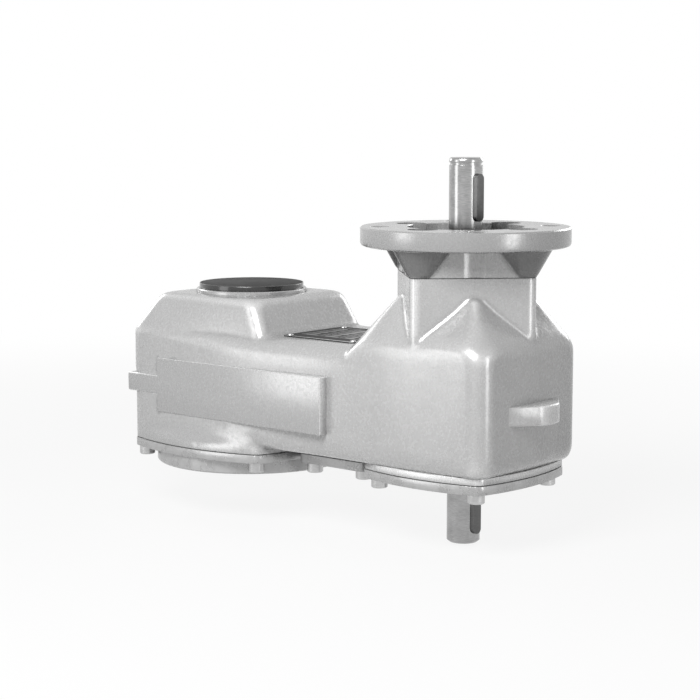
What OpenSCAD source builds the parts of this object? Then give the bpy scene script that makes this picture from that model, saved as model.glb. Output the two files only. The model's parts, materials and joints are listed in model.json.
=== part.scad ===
// Spur gearbox: an output sleeve and an input shaft 174 mm apart, joined by a train of four spur gears
// in one cast housing. Millimetres. +Z is up, +X runs from the output axis to the input axis, and the
// origin is the centre of the output flange's face.

/* [Axes and gears] */
// distance from the output axis to the input axis
axis_gap = 174; // [170:1:180]
// gear module
gear_m = 2; // [1.5:0.25:3]
// teeth on the output wheel
teeth_out = 45; // [40:1:48]
// teeth on the first idler
teeth_one = 36; // [30:1:38]
// teeth on the second idler
teeth_two = 21; // [18:1:26]
// teeth on the input pinion
teeth_in = 15; // [13:1:18]
// length of the toothed faces
gear_face = 28; // [20:1:32]
// height of the toothed faces' lower side
gear_z = 36; // [34:1:40]
// thinning of each tooth at the pitch circle
backlash = 0.3; // [0.1:0.05:0.5]
// centre of the first idler along X
idler_one_x = 81; // [75:1:85]
// centre of the second idler along X
idler_two_x = 138; // [130:1:142]

/* [Housing body] */
// height of the housing's lower joint
joint_z = 15; // [12:0.5:18]
// height of the flat deck between the two towers
deck_z = 88; // [80:1:94]
// half width of the output tower
tower_half = 56.3; // [52:0.1:60]
// corner radius of the output tower
tower_r = 9; // [6:0.5:14]
// half width of the input end
box_half = 50; // [46:0.5:54]
// corner radius of the input end
box_r = 12; // [8:0.5:16]
// largest radius of the deck's rounded edge
shoulder_r = 14; // [8:0.5:16]
// smallest radius of the deck's rounded edge
shoulder_min = 4; // [2:0.5:6]
// height where the walls begin to curve in under the housing
turn_z = 28; // [24:0.5:32]
// thickness of the side walls
wall = 6; // [4:0.5:8]
// thickness of the floor
floor_t = 6; // [4:0.5:8]

/* [Output dome] */
// half width at the dome's foot
dome_foot = 55.4; // [50:0.1:58]
// half width just under the dome's rounded top edge
dome_edge = 45.6; // [40:0.1:50]
// height of the dome's rounded top edge
dome_edge_z = 106; // [100:0.5:108]
// height of the dome's flat top
dome_top = 110; // [108:0.5:114]
// radius of the machined ring under the cap
ring_r = 36; // [34:0.5:40]
// height of the ring's top
ring_top = 112.4; // [111:0.1:114]

/* [Input tower] */
// half width of the pyramid at its foot, measured along X and Y
pyramid_foot = 55; // [50:0.5:58]
// half width of the pyramid at its foot, measured to its corners along X
pyramid_corner = 46; // [42:0.5:50]
// half width of the pyramid where it ends inside the neck
pyramid_tip = 28; // [24:0.5:32]
// height where the pyramid ends
pyramid_top = 118; // [110:0.5:122]
// width across the flats of the square neck, which is turned by 45 degrees
neck_w = 74; // [66:0.5:78]
// corner radius of the neck
neck_r = 5; // [3:0.5:8]
// height of the neck's top face
neck_top = 131.5; // [128:0.5:135]

/* [Side pads and lugs] */
// distance from the mid plane to the pad's face
pad_y = 57; // [55:0.5:60]
// start of the pad along X
pad_x0 = -31; // [-35:0.5:-25]
// end of the pad along X
pad_x1 = 108.7; // [100:0.5:115]
// height of the pad's lower edge
pad_z0 = 33.7; // [30:0.5:38]
// height of the pad's upper edge
pad_z1 = 69; // [64:0.5:74]
// outer end of the corner lugs along X
lug_x = -58.5; // [-62:0.5:-56]
// height of the corner lugs' lower side
lug_z0 = 45.3; // [42:0.5:48]
// height of the corner lugs' upper side
lug_z1 = 57.5; // [54:0.5:60]
// reach of the end lug beyond the input end
end_lug_out = 14; // [10:0.5:18]
// half width of the end lug's root
end_lug_root = 26.3; // [22:0.5:30]
// half width of the end lug's tip
end_lug_tip = 7; // [5:0.5:10]
// height of the end lug's lower side
end_lug_z0 = 47.3; // [44:0.5:50]
// height of the end lug's upper side
end_lug_z1 = 59; // [56:0.5:62]

/* [Output flange and plate] */
// diameter of the output flange
flange_d = 125; // [120:1:130]
// thickness of the output flange under its plate
flange_t = 9; // [7:0.5:12]
// pitch circle of the flange bolts, output and input
bolt_pcd = 102; // [98:1:106]
// diameter of the tapped holes in the output flange
tapped_d = 8.5; // [7:0.1:10]
// depth of the tapped holes
tapped_depth = 13; // [10:0.5:14]
// thickness of the bolted plates
plate_t = 5.5; // [4:0.5:8]
// thickness of the gaskets
gasket_t = 0.5; // [0.3:0.1:1]
// gap between the edge of the output flange and the middle of the output plate's screws
screw_gap = 6.8; // [6.2:0.1:9]
// distance from the output plate's screws to the middle of its bowed sides
out_plate_margin = 15.5; // [14:0.5:18]
// radius of the output plate's bowed sides
out_plate_bow = 150; // [120:5:300]
// half width of the input plate at the middle of its bowed sides
in_plate_half = 50; // [46:0.5:54]
// radius of the input plate's bowed sides
in_plate_bow = 140; // [110:5:300]
// offset of the input plate's screws along X and Y
in_screw = 36; // [33:0.5:39]
// corner radius of the plates
plate_r = 7; // [4:0.5:10]
// height of the lip that follows each plate
lip_t = 4; // [2:0.5:6]

/* [Idler cover] */
// gap between the output plate and the idler cover
cover_gap_out = 4; // [3:0.5:6]
// gap between the idler cover and the input plate
cover_gap_in = 3.5; // [3:0.5:6]
// half width of the idler cover
cover_half = 31; // [28:0.5:36]

/* [Input flange] */
// diameter of the input flange
in_flange_d = 125; // [120:1:130]
// height of the input flange's face
in_flange_top = 159.5; // [155:0.5:165]
// thickness of the input flange's disc
in_flange_t = 11.5; // [9:0.5:14]
// diameter of the bolt holes
clear_d = 11; // [9:0.5:12]
// diameter of the spigot recess
recess_d = 70; // [66:0.5:74]
// depth of the spigot recess
recess_depth = 5; // [3:0.5:7]
// radius of the hollow under the recess
hollow_r = 30; // [24:0.5:32]
// distance of the neck screws from the input axis
neck_screw = 41; // [38:0.5:43]
// radius of the screw lobes that open into the recess
lobe_r = 9; // [7.5:0.5:10]
// height of the lobes' floor
lobe_z = 141; // [138:0.5:145]
// radius of each notch at the foot of the flange's stem
notch_low = 12.5; // [10:0.5:14]
// radius of each notch at the disc
notch_high = 23; // [18:0.5:25]
// radius of the shallow groove under each flange bolt hole
groove_r = 15.25; // [14.5:0.25:17]
// radius of each screw boss at its foot
boss_low = 8.5; // [7:0.5:12]
// radius of each screw boss at the disc
boss_high = 18; // [15:0.5:20]

/* [Shafts] */
// diameter of the input shaft
shaft_d = 20; // [18:1:25]
// height of the input shaft's lower end
shaft_low = -30.8; // [-36:0.1:-26]
// height of the input shaft's upper end
shaft_high = 200.1; // [195:0.1:205]
// width of the shaft keys
key_w = 6; // [5:0.5:8]
// length of the shaft keys
key_len = 28; // [22:0.5:32]
// height of the upper key's lower end
key_top_z = 162.7; // [160:0.1:168]
// height of the lower key's lower end
key_low_z = -24.5; // [-27:0.1:-20]
// angle of both keys about the shaft
key_turn = -11; // [-20:1:0]
// radius of the output sleeve in its bearings
sleeve_r = 25; // [22:0.5:28]
// radius of the sleeve under the output wheel
seat_r = 28; // [26:0.5:30]
// radius of the bore through the sleeve
sleeve_bore = 19; // [16:0.5:20]
// radius of the drive bush's bore
stem_r = 14; // [10:0.5:15]
// length of the drive bush
bush_len = 60; // [40:1:70]

/* [Cap and nameplate] */
// diameter of the stem cap
cap_d = 68; // [64:0.5:72]
// thickness of the stem cap
cap_t = 3.4; // [2:0.1:5]
// start of the nameplate along X
name_x0 = 58; // [56:0.5:62]
// end of the nameplate along X
name_x1 = 117; // [110:0.5:118]
// front edge of the nameplate along Y
name_y0 = -35; // [-38:0.5:-30]
// back edge of the nameplate along Y
name_y1 = 24; // [20:0.5:36]

/* [Hidden] */
$fn = 48;
slack = 0.05;
plate_top = flange_t + plate_t;
bolt_r = bolt_pcd / 2;
out_screw = (flange_d / 2 + screw_gap) / sqrt(2);
out_plate_half = out_screw + out_plate_margin;
cover_x0 = out_plate_half + cover_gap_out;
cover_x1 = axis_gap - in_plate_half - cover_gap_in;
side_out = out_plate_half;
wheel_key_len = gear_face - 4;
neck_half = neck_w / 2;
disc_z = in_flange_top - in_flange_t;
foot_z = neck_top + gasket_t;
cavity_top = deck_z - 8;
cavity_floor = joint_z + floor_t;
lip_z = joint_z + lip_t;
chamber_r = 50;
screw_head_r = 5;
screw_head_t = 6;
screw_z = flange_t - screw_head_t;
screw_len = 18;
bearing_out_r = 40;
bearing_in_r = 21;
bearing_out_t = 16;
bearing_in_t = 12;
bearing_out_low_z = 8;
bearing_out_high_z = 84;
bearing_in_low_z = 17;
bearing_in_high_z = 104;
in_boss_r = 28;
in_boss_top = 29;
pin_one_r = 7;
pin_two_r = 5;
bush_wall = 2.5;
hub_z0 = 24;
hub_z1 = 65;
washer_t = 1.2;
hub_two_z0 = in_boss_top + washer_t + 0.3;
pin_top = 83;
shaft_r = shaft_d / 2;
pitch_out = gear_m * teeth_out / 2;
pitch_one = gear_m * teeth_one / 2;
pitch_two = gear_m * teeth_two / 2;
pitch_in = gear_m * teeth_in / 2;
cast = "Silver";
machined = "LightGray";
steel = "Gainsboro";
dark = "DimGray";

function mix(a, b, t) = a + (b - a) * t;
function ease(a, b, x) = let(t = min(1, max(0, (x - a) / (b - a)))) t * t * (3 - 2 * t);

// outline of a square whose sides bow outwards and whose corners are rounded
function bowed_reach(half, bow, r) =
    (-(bow - half) + sqrt(2 * (bow - r) * (bow - r) - (bow - half) * (bow - half))) / 2;
function bowed(half, bow, r, sides = 8, turns = 4) =
    let(k = bowed_reach(half, bow, r), lean = atan2(k, k + bow - half))
    [for (q = [0:3]) each concat(
        [for (i = [0:sides]) let(a = mix(-lean, lean, i / sides))
            let(x = bow * cos(a) - (bow - half), y = bow * sin(a))
            [x * cos(90 * q) - y * sin(90 * q), x * sin(90 * q) + y * cos(90 * q)]],
        [for (i = [1:turns - 1]) let(a = mix(lean, 90 - lean, i / turns))
            let(x = k + r * cos(a), y = k + r * sin(a))
            [x * cos(90 * q) - y * sin(90 * q), x * sin(90 * q) + y * cos(90 * q)]])];

// outline of a square with rounded corners
function rounded(half, r, turns = 6) =
    [for (q = [0:3]) for (i = [0:turns]) let(a = 90 * q + 90 * i / turns)
        let(cx = (q == 0 || q == 3 ? 1 : -1) * (half - r), cy = (q < 2 ? 1 : -1) * (half - r))
        [cx + r * cos(a), cy + r * sin(a)]];

// solid through rings of points that all have the same count, closed by a fan at each end
function middle(ring) = let(n = len(ring), one = [for (p = ring) 1]) one * ring / n;
module loft(rings) {
    n = len(rings[0]);
    m = len(rings);
    polyhedron(points = concat([for (ring = rings) each ring], [middle(rings[0]), middle(rings[m - 1])]),
        faces = concat([for (j = [0:n - 1]) [j, (j + 1) % n, m * n]],
            [for (i = [0:m - 2]) for (j = [0:n - 1]) each
                let(a = i * n + j, b = i * n + (j + 1) % n, c = a + n, d = b + n) [[a, c, d], [a, d, b]]],
            [for (j = [0:n - 1]) [(m - 1) * n + (j + 1) % n, (m - 1) * n + j, m * n + 1]]),
        convexity = 6);
}

// the long body: the tower's side eases in to the input end's side
body_xs = [-36, -20, -4, 10, 24, 38, 52, 66, 80, 94, 108, 124, 140, 156, 172, 188, 204];
function side_y(x) = mix(tower_half, box_half, ease(12, 112, x));
function edge_r(x) = mix(shoulder_min, shoulder_r, ease(-52, 70, x)) * mix(1, 0.42, ease(100, 168, x));
function body_ring(up, low) =
    let(right = axis_gap + box_half - box_r, left = tower_half - tower_r)
    [for (p = concat(
        [for (i = [0:4]) let(a = -90 + 22.5 * i)
            [right + box_r * cos(a), -(box_half - box_r) + box_r * sin(a), cos(a), sin(a)]],
        [for (i = [0:4]) let(a = 22.5 * i)
            [right + box_r * cos(a), box_half - box_r + box_r * sin(a), cos(a), sin(a)]],
        [for (i = [len(body_xs) - 1:-1:0]) [body_xs[i], side_y(body_xs[i]), 0, 1]],
        [for (i = [0:4]) let(a = 90 + 22.5 * i)
            [-left + tower_r * cos(a), left + tower_r * sin(a), cos(a), sin(a)]],
        [for (i = [0:4]) let(a = 180 + 22.5 * i)
            [-left + tower_r * cos(a), -left + tower_r * sin(a), cos(a), sin(a)]],
        [for (i = [0:len(body_xs) - 1]) [body_xs[i], -side_y(body_xs[i]), 0, -1]]))
        let(r = up ? edge_r(p[0]) : turn_z - joint_z - 3.5,
            inset = r * (1 - cos(low)), z = up ? deck_z - r * (1 - sin(low)) : turn_z - r * sin(low))
        [p[0] - inset * p[2], p[1] - inset * p[3], z]];
module long_body() {
    loft(concat([for (a = [80, 60, 40, 20, 0]) body_ring(false, a)],
        [for (a = [0, 18, 36, 54, 72, 90]) body_ring(true, a)]));
}

// the skirt flares from the tower's wall to the output plate's outline
module skirt() {
    hull() {
        translate([0, 0, joint_z]) linear_extrude(lip_t)
            polygon(bowed(out_plate_half - 0.4, out_plate_bow, plate_r));
        translate([0, 0, turn_z]) linear_extrude(4) polygon(rounded(tower_half - 1, tower_r));
    }
}

module dome() {
    rings = [[70, tower_half - 6], [84, tower_half - 1], [deck_z, dome_foot - 0.6],
        [dome_edge_z, dome_edge], [108.4, dome_edge - 2], [dome_top - 0.3, dome_edge - 5],
        [dome_top, dome_edge - 9]];
    loft([for (s = rings) [for (p = rounded(s[1], tower_r + 2)) [p[0], p[1], s[0]]]]);
    translate([0, 0, dome_top - 1]) cylinder(r = ring_r, h = ring_top - dome_top + 1, $fn = 96);
}

// the pyramid's sides bow outwards at the foot and run flat into the neck
function pyramid_ring(t) =
    let(half = mix(pyramid_foot, pyramid_tip - 1.4, t), corner = mix(pyramid_corner, pyramid_tip, t))
    [for (q = [0:3]) for (i = [0:7])
        let(s = -1 + i / 4, x = half - (half - corner) * s * s, y = corner * s,
            cut = abs(s) > 0.99 ? 0.985 : 1)
        [axis_gap + cut * (x * cos(90 * q) - y * sin(90 * q)), cut * (x * sin(90 * q) + y * cos(90 * q)),
            mix(deck_z, pyramid_top, t)]];
module pyramid() {
    intersection() {
        loft([for (t = [-0.35, 0, 0.35, 0.7, 1]) pyramid_ring(t)]);
        translate([0, 0, deck_z - 10.5]) linear_extrude(pyramid_top) union() {
            translate([axis_gap, 0]) polygon(rounded(box_half, box_r));
            translate([axis_gap - box_half - 12, -box_half])
                square([box_half + 12, 2 * box_half]);
        }
    }
}

module neck_prism(z0, z1, w = neck_w, r = neck_r) {
    translate([axis_gap, 0, z0]) rotate(45) {
        linear_extrude(z1 - z0) {
            square([w, w - 2 * r], center = true);
            square([w - 2 * r, w], center = true);
            for (x = [-1, 1], y = [-1, 1]) translate([x * (w / 2 - r), y * (w / 2 - r)]) circle(r);
        }
    }
}

module lugs() {
    for (s = [-1, 1]) {
        translate([lug_x, s > 0 ? pad_y - 14 : -pad_y, lug_z0]) cube([pad_x0 - lug_x + 1, 14, lug_z1 - lug_z0]);
        translate([pad_x0, s > 0 ? pad_y - 9 : -pad_y, pad_z0]) cube([pad_x1 - pad_x0, 9, pad_z1 - pad_z0]);
    }
    translate([axis_gap + box_half, 0, end_lug_z0]) linear_extrude(end_lug_z1 - end_lug_z0)
        polygon([[-4, -end_lug_root], [0, -end_lug_root], [end_lug_out - 1, -end_lug_tip],
            [end_lug_out, -end_lug_tip + 1.5], [end_lug_out, end_lug_tip - 1.5], [end_lug_out - 1, end_lug_tip],
            [0, end_lug_root], [-4, end_lug_root]]);
}

module at_square(offset) {
    for (x = [-1, 1], y = [-1, 1]) translate([x * offset, y * offset]) children();
}
module at_cover_screws() {
    for (s = [-1, 1]) {
        translate([cover_x0 + 8.5, s * (cover_half - 6)]) children();
        translate([cover_x1 - 6.5, s * (cover_half - 9)]) children();
    }
}
module at_neck_screws() {
    for (a = [0:90:270]) translate([axis_gap, 0]) rotate(a) translate([neck_screw, 0]) children();
}
module at_bolts() {
    for (a = [45:90:315]) rotate(a) translate([bolt_r, 0]) children();
}

module cavity() {
    translate([0, 0, joint_z - 1]) cylinder(r = chamber_r, h = cavity_top - joint_z + 1, $fn = 96);
    translate([0, -box_half + wall, cavity_floor])
        cube([axis_gap + box_half - wall, 2 * (box_half - wall), cavity_top - 10 - cavity_floor]);
    translate([0, -box_half + wall + 8, cavity_floor])
        cube([axis_gap + box_half - wall - 8, 2 * (box_half - wall - 8), cavity_top - cavity_floor]);
    translate([0, 0, cavity_top - 1]) cylinder(r = 44, h = bearing_out_high_z - cavity_top + 1);
    translate([0, 0, bearing_out_high_z]) cylinder(r = bearing_out_r, h = bearing_out_t, $fn = 96);
    translate([0, 0, bearing_out_high_z]) cylinder(r = 30, h = 40, $fn = 96);
    translate([axis_gap, 0, cavity_top - 1]) cylinder(r1 = 34, r2 = 22, h = 19);
    translate([axis_gap, 0, cavity_top]) cylinder(r = 18, h = 40);
    translate([axis_gap, 0, bearing_in_high_z]) cylinder(r = bearing_in_r, h = 40, $fn = 96);
    translate([axis_gap, 0, bearing_in_high_z + bearing_in_t]) cylinder(r = bearing_in_r + 1.4, h = 1.4);
}

module housing() {
    color(cast) difference() {
        union() {
            difference() {
                union() {
                    long_body();
                    skirt();
                    dome();
                    pyramid();
                    neck_prism(deck_z - 4, neck_top);
                    lugs();
                    translate([axis_gap, 0, joint_z]) linear_extrude(lip_t)
                        polygon(bowed(in_plate_half - 0.4, in_plate_bow, plate_r));
                    translate([cover_x0, -cover_half, joint_z])
                        cube([cover_x1 - cover_x0, 2 * cover_half, lip_t]);
                }
                cavity();
            }
            translate([axis_gap, 0, joint_z]) at_square(in_screw) cylinder(r = 7.5, h = 17);
            translate([0, 0, joint_z]) at_cover_screws() cylinder(r = 6.5, h = 15);
            translate([idler_one_x, 0, hub_z1 + 2]) cylinder(r = 12, h = deck_z - hub_z1 - 6);
            translate([idler_two_x, 0, hub_z1 + 2]) cylinder(r = 10, h = deck_z - hub_z1 - 6);
        }
        translate([axis_gap, 0, joint_z - 1]) cylinder(r = in_boss_r + slack, h = floor_t + 2, $fn = 96);
        translate([idler_two_x, 0, joint_z - 1]) cylinder(r = 9 + slack, h = floor_t + 2);
        translate([idler_one_x, 0, joint_z - 1]) cylinder(r = 11 + slack, h = floor_t + 2);
        translate([idler_one_x, 0, hub_z1]) cylinder(r = pin_one_r, h = pin_top - hub_z1);
        translate([idler_two_x, 0, hub_z1]) cylinder(r = pin_two_r, h = pin_top - hub_z1);
        translate([0, 0, joint_z - 1]) at_square(out_screw) cylinder(r = 3 + slack, h = 14);
        translate([axis_gap, 0, joint_z - 1]) at_square(in_screw) cylinder(r = 3 + slack, h = 14);
        translate([0, 0, joint_z - 1]) at_cover_screws() cylinder(r = 3 + slack, h = 14);
        translate([0, 0, neck_top - 17]) at_neck_screws() cylinder(r = 4 + slack, h = 20);
    }
}

module output_base_plate() {
    color(machined) difference() {
        union() {
            cylinder(d = flange_d, h = flange_t, $fn = 128);
            translate([0, 0, flange_t]) linear_extrude(plate_t)
                polygon(bowed(out_plate_half, out_plate_bow, plate_r));
            cylinder(r = chamber_r - slack, h = 20, $fn = 96);
            cylinder(r = 46, h = bearing_out_low_z + bearing_out_t, $fn = 96);
        }
        translate([0, 0, -1]) cylinder(r = 36, h = 30, $fn = 96);
        translate([0, 0, bearing_out_low_z]) cylinder(r = bearing_out_r, h = 30, $fn = 96);
        translate([0, 0, -1]) at_bolts() cylinder(d = tapped_d, h = tapped_depth + 1);
        translate([0, 0, -1]) at_square(out_screw) cylinder(r = 3.4, h = 30);
    }
}

module input_base_plate() {
    color(machined) difference() {
        translate([axis_gap, 0, 0]) union() {
            translate([0, 0, flange_t]) linear_extrude(plate_t)
                polygon(bowed(in_plate_half, in_plate_bow, plate_r));
            translate([0, 0, flange_t]) cylinder(r = in_boss_r, h = in_boss_top - flange_t, $fn = 96);
            translate([idler_two_x - axis_gap, 0, flange_t])
                cylinder(r = 9, h = hub_two_z0 - 1.5 - flange_t);
        }
        translate([axis_gap, 0, 0]) {
            cylinder(r = shaft_r + 4, h = 60);
            translate([0, 0, flange_t - 1]) cylinder(r = 17.5, h = 8, $fn = 96);
            translate([0, 0, bearing_in_low_z]) cylinder(r = bearing_in_r, h = 30, $fn = 96);
            at_square(in_screw) cylinder(r = 3.4, h = 30);
        }
        translate([idler_two_x, 0, flange_t + 1.5]) cylinder(r = pin_two_r, h = 30);
    }
}

module idler_cover() {
    color(machined) difference() {
        union() {
            translate([cover_x0, -cover_half, flange_t]) cube([cover_x1 - cover_x0, 2 * cover_half, plate_t]);
            translate([idler_one_x, 0, flange_t]) cylinder(r = 11, h = 13.5);
        }
        translate([idler_one_x, 0, flange_t + 1.5]) cylinder(r = pin_one_r, h = 30);
        at_cover_screws() cylinder(r = 3.4, h = 30);
    }
}

module flange_stem() {
    difference() {
        neck_prism(foot_z, disc_z + 1);
        for (a = [0:90:270]) translate([axis_gap, 0, foot_z + 2]) rotate(a)
            translate([neck_half * sqrt(2), 0, 0])
                cylinder(r1 = notch_low, r2 = notch_high, h = disc_z - foot_z - 1.5);
        translate([axis_gap, 0, foot_z - 1]) at_bolts() cylinder(r = groove_r, h = disc_z - foot_z + 1.5);
    }
}
module input_flange() {
    color(cast) difference() {
        union() {
            translate([axis_gap, 0, disc_z]) cylinder(d = in_flange_d, h = in_flange_t, $fn = 128);
            flange_stem();
            translate([0, 0, foot_z + 1.2]) at_neck_screws()
                cylinder(r1 = boss_low, r2 = boss_high, h = disc_z - foot_z - 0.7);
        }
        translate([axis_gap, 0, in_flange_top - recess_depth]) cylinder(d = recess_d, h = 30, $fn = 96);
        translate([axis_gap, 0, foot_z + 6]) cylinder(r = hollow_r, h = 60, $fn = 96);
        translate([axis_gap, 0, foot_z - 1]) cylinder(r = shaft_r + 2, h = 60);
        translate([0, 0, lobe_z]) at_neck_screws() cylinder(r = lobe_r, h = 40);
        translate([0, 0, foot_z - 1]) at_neck_screws() cylinder(r = 4.5, h = 40);
        translate([axis_gap, 0, disc_z - 1]) at_bolts() cylinder(d = clear_d, h = 40);
    }
}

module ring(r0, r1, z0, z1) {
    translate([0, 0, z0]) difference() {
        cylinder(r = r1, h = z1 - z0, $fn = 96);
        translate([0, 0, -1]) cylinder(r = r0, h = z1 - z0 + 2, $fn = 96);
    }
}

module output_gasket() {
    color(dark) translate([0, 0, plate_top]) linear_extrude(gasket_t) difference() {
        polygon(bowed(out_plate_half - 0.6, out_plate_bow, plate_r));
        circle(chamber_r + slack, $fn = 96);
        at_square(out_screw) circle(3.4);
    }
}
module input_gasket() {
    color(dark) translate([0, 0, plate_top]) linear_extrude(gasket_t) difference() {
        translate([axis_gap, 0]) polygon(bowed(in_plate_half - 0.6, in_plate_bow, plate_r));
        translate([axis_gap, 0]) circle(in_boss_r + slack, $fn = 96);
        translate([idler_two_x, 0]) circle(9 + slack);
        translate([axis_gap, 0]) at_square(in_screw) circle(3.4);
    }
}
module cover_gasket() {
    color(dark) translate([0, 0, plate_top]) linear_extrude(gasket_t) difference() {
        translate([cover_x0 + 0.6, -cover_half + 0.6])
            square([cover_x1 - cover_x0 - 1.2, 2 * cover_half - 1.2]);
        translate([idler_one_x, 0]) circle(11 + slack);
        at_cover_screws() circle(3.4);
    }
}
module flange_gasket() {
    color(dark) difference() {
        neck_prism(neck_top, foot_z, neck_w - 1.2);
        translate([axis_gap, 0, 0]) cylinder(r = bearing_in_r, h = 200, $fn = 96);
        at_neck_screws() cylinder(r = 4.5, h = 200);
    }
}

module cap_screw(shank_r, head_r, head_t, length) {
    difference() {
        union() {
            cylinder(r = head_r, h = head_t);
            cylinder(r = shank_r, h = head_t + length);
        }
        translate([0, 0, -1]) cylinder(r = shank_r * 0.95, h = head_t * 0.5 + 1, $fn = 6);
    }
}
module output_plate_screws() {
    color(steel) translate([0, 0, screw_z]) at_square(out_screw)
        cap_screw(3, screw_head_r, screw_head_t, screw_len);
}
module input_plate_screws() {
    color(steel) translate([axis_gap, 0, screw_z]) at_square(in_screw)
        cap_screw(3, screw_head_r, screw_head_t, screw_len);
}
module cover_screws() {
    color(steel) translate([0, 0, screw_z]) at_cover_screws()
        cap_screw(3, screw_head_r, screw_head_t, screw_len);
}
module flange_screws() {
    color(steel) translate([0, 0, lobe_z + 8]) at_neck_screws() mirror([0, 0, 1]) cap_screw(4, 6.5, 8, 25);
}

module stem_cap() {
    color("Black") difference() {
        union() {
            translate([0, 0, ring_top]) cylinder(d = cap_d, h = cap_t - 0.6, $fn = 96);
            translate([0, 0, ring_top + cap_t - 0.6])
                cylinder(r1 = cap_d / 2, r2 = cap_d / 2 - 0.6, h = 0.6, $fn = 96);
            translate([0, 0, ring_top - 7]) cylinder(r = 30 - slack, h = 8, $fn = 96);
        }
        translate([0, 0, ring_top - 5]) ring_groove();
        translate([0, 0, ring_top - 8]) cylinder(r = 25, h = 8);
    }
}
module ring_groove() {
    difference() {
        cylinder(r = 32, h = 2.4);
        translate([0, 0, -1]) cylinder(r = 28.2, h = 5, $fn = 96);
    }
}
module cap_seal_ring() {
    color("Black") ring(28.2, 29.9, ring_top - 4.9, ring_top - 2.7);
}

module nameplate() {
    color(dark) translate([0, 0, deck_z]) linear_extrude(0.8) difference() {
        translate([name_x0 + 4, name_y0 + 4]) offset(4) square([name_x1 - name_x0 - 8, name_y1 - name_y0 - 8]);
        at_rivets() circle(1.05, $fn = 16);
    }
}
module at_rivets() {
    for (x = [name_x0 + 4, name_x1 - 4], y = [name_y0 + 4, name_y1 - 4]) translate([x, y]) children();
}
module nameplate_rivets() {
    color(steel) at_rivets() {
        translate([0, 0, deck_z]) cylinder(r = 1, h = 0.9, $fn = 16);
        translate([0, 0, deck_z + 0.8]) cylinder(r1 = 1.9, r2 = 1.2, h = 0.6, $fn = 16);
    }
}

// one side of a tooth as angles at rising radii: an involute with a straight root below it
function flank(pitch, radii) =
    let(base = pitch * cos(20), at_pitch = tan(20) * 180 / PI - 20,
        half = 90 / (2 * pitch / gear_m) - backlash / 2 / pitch * 180 / PI)
    [for (r = radii) r <= base ? half + at_pitch : let(a = acos(base / r))
        half + at_pitch - (tan(a) * 180 / PI - a)];
function gear_points(teeth) =
    let(pitch = gear_m * teeth / 2, root = pitch - 1.2 * gear_m,
        radii = [root, pitch - 0.45 * gear_m, pitch, pitch + 0.55 * gear_m, pitch + gear_m],
        lean = flank(pitch, radii))
    [for (t = [0:teeth - 1]) each concat(
        [for (i = [0:4]) let(a = 360 * t / teeth - lean[i]) radii[i] * [cos(a), sin(a)]],
        [for (i = [4:-1:0]) let(a = 360 * t / teeth + lean[i]) radii[i] * [cos(a), sin(a)]])];
module gear(teeth, turn, z0, z1) {
    translate([0, 0, z0]) rotate(turn) linear_extrude(z1 - z0) polygon(gear_points(teeth));
}

module output_wheel() {
    color(steel) difference() {
        union() {
            gear(teeth_out, 0, gear_z, gear_z + gear_face);
            translate([0, 0, gear_z - 2]) cylinder(r = 34, h = gear_face + 4);
        }
        translate([0, 0, gear_z - 5]) cylinder(r = seat_r, h = 50, $fn = 96);
        translate([seat_r - 2, -4, gear_z - 5]) cube([5.5, 8, 50]);
    }
}
module output_wheel_key() {
    color(dark) translate([seat_r - 3.5, -4, gear_z]) cube([6.5, 8, wheel_key_len]);
}
module output_wheel_ring() {
    color(dark) ring(seat_r - 1, seat_r + 2.6, gear_z + gear_face + 2.1, gear_z + gear_face + 3.9);
}
module output_sleeve() {
    color(steel) difference() {
        union() {
            translate([0, 0, 0.6])
                cylinder(r = sleeve_r, h = bearing_out_high_z + bearing_out_t + 0.4, $fn = 96);
            translate([0, 0, bearing_out_low_z + bearing_out_t])
                cylinder(r = seat_r, h = bearing_out_high_z - bearing_out_low_z - bearing_out_t, $fn = 96);
            translate([0, 0, bearing_out_low_z + bearing_out_t]) cylinder(r = 32, h = 10);
        }
        translate([0, 0, -1]) cylinder(r = sleeve_bore, h = 120, $fn = 96);
        for (a = [0, 180]) rotate(a) translate([sleeve_bore - 4, -4, -1]) cube([7, 8, bush_len + 1.6]);
        translate([seat_r - 3.5, -4, gear_z]) cube([8, 8, wheel_key_len]);
        translate([0, 0, gear_z + gear_face + 2]) difference() {
            cylinder(r = 40, h = 2);
            translate([0, 0, -1]) cylinder(r = seat_r - 1, h = 5, $fn = 96);
        }
    }
}
module drive_bush() {
    color(machined) difference() {
        union() {
            translate([0, 0, 0.6]) cylinder(r = sleeve_bore, h = bush_len, $fn = 96);
            for (a = [0, 180]) rotate(a) translate([sleeve_bore - 4, -4, 0.6]) cube([7, 8, bush_len]);
        }
        translate([0, 0, -1]) cylinder(r = stem_r, h = 90, $fn = 96);
        translate([0, -4, -1]) cube([stem_r + 3.3, 8, 90]);
    }
}

// bearing rings: the cage and its rollers are one solid and stay with the outer ring
module race_outer(r0, r1, z, t) {
    gap = (r1 - r0) * 0.3;
    mid = (r0 + r1) / 2;
    count = floor(mid * 2 / gap);
    ring(r1 - gap, r1, z, z + t);
    translate([0, 0, z + t / 2]) {
        ring(mid - gap * 0.42, mid + gap * 0.42, -1, 1);
        for (i = [0:count - 1]) rotate(360 * i / count) translate([mid, 0, 0])
            cylinder(r = gap * 0.64, h = t * 0.7, center = true, $fn = 24);
    }
}
module race_inner(r0, r1, z, t) {
    gap = (r1 - r0) * 0.3;
    ring(r0, r0 + gap * 0.9, z, z + t);
}
module bearing_output_low_outer() {
    color(steel) race_outer(sleeve_r, bearing_out_r, bearing_out_low_z, bearing_out_t);
}
module bearing_output_low_inner() {
    color(steel) race_inner(sleeve_r, bearing_out_r, bearing_out_low_z, bearing_out_t);
}
module bearing_output_high_outer() {
    color(steel) race_outer(sleeve_r, bearing_out_r, bearing_out_high_z, bearing_out_t);
}
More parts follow.
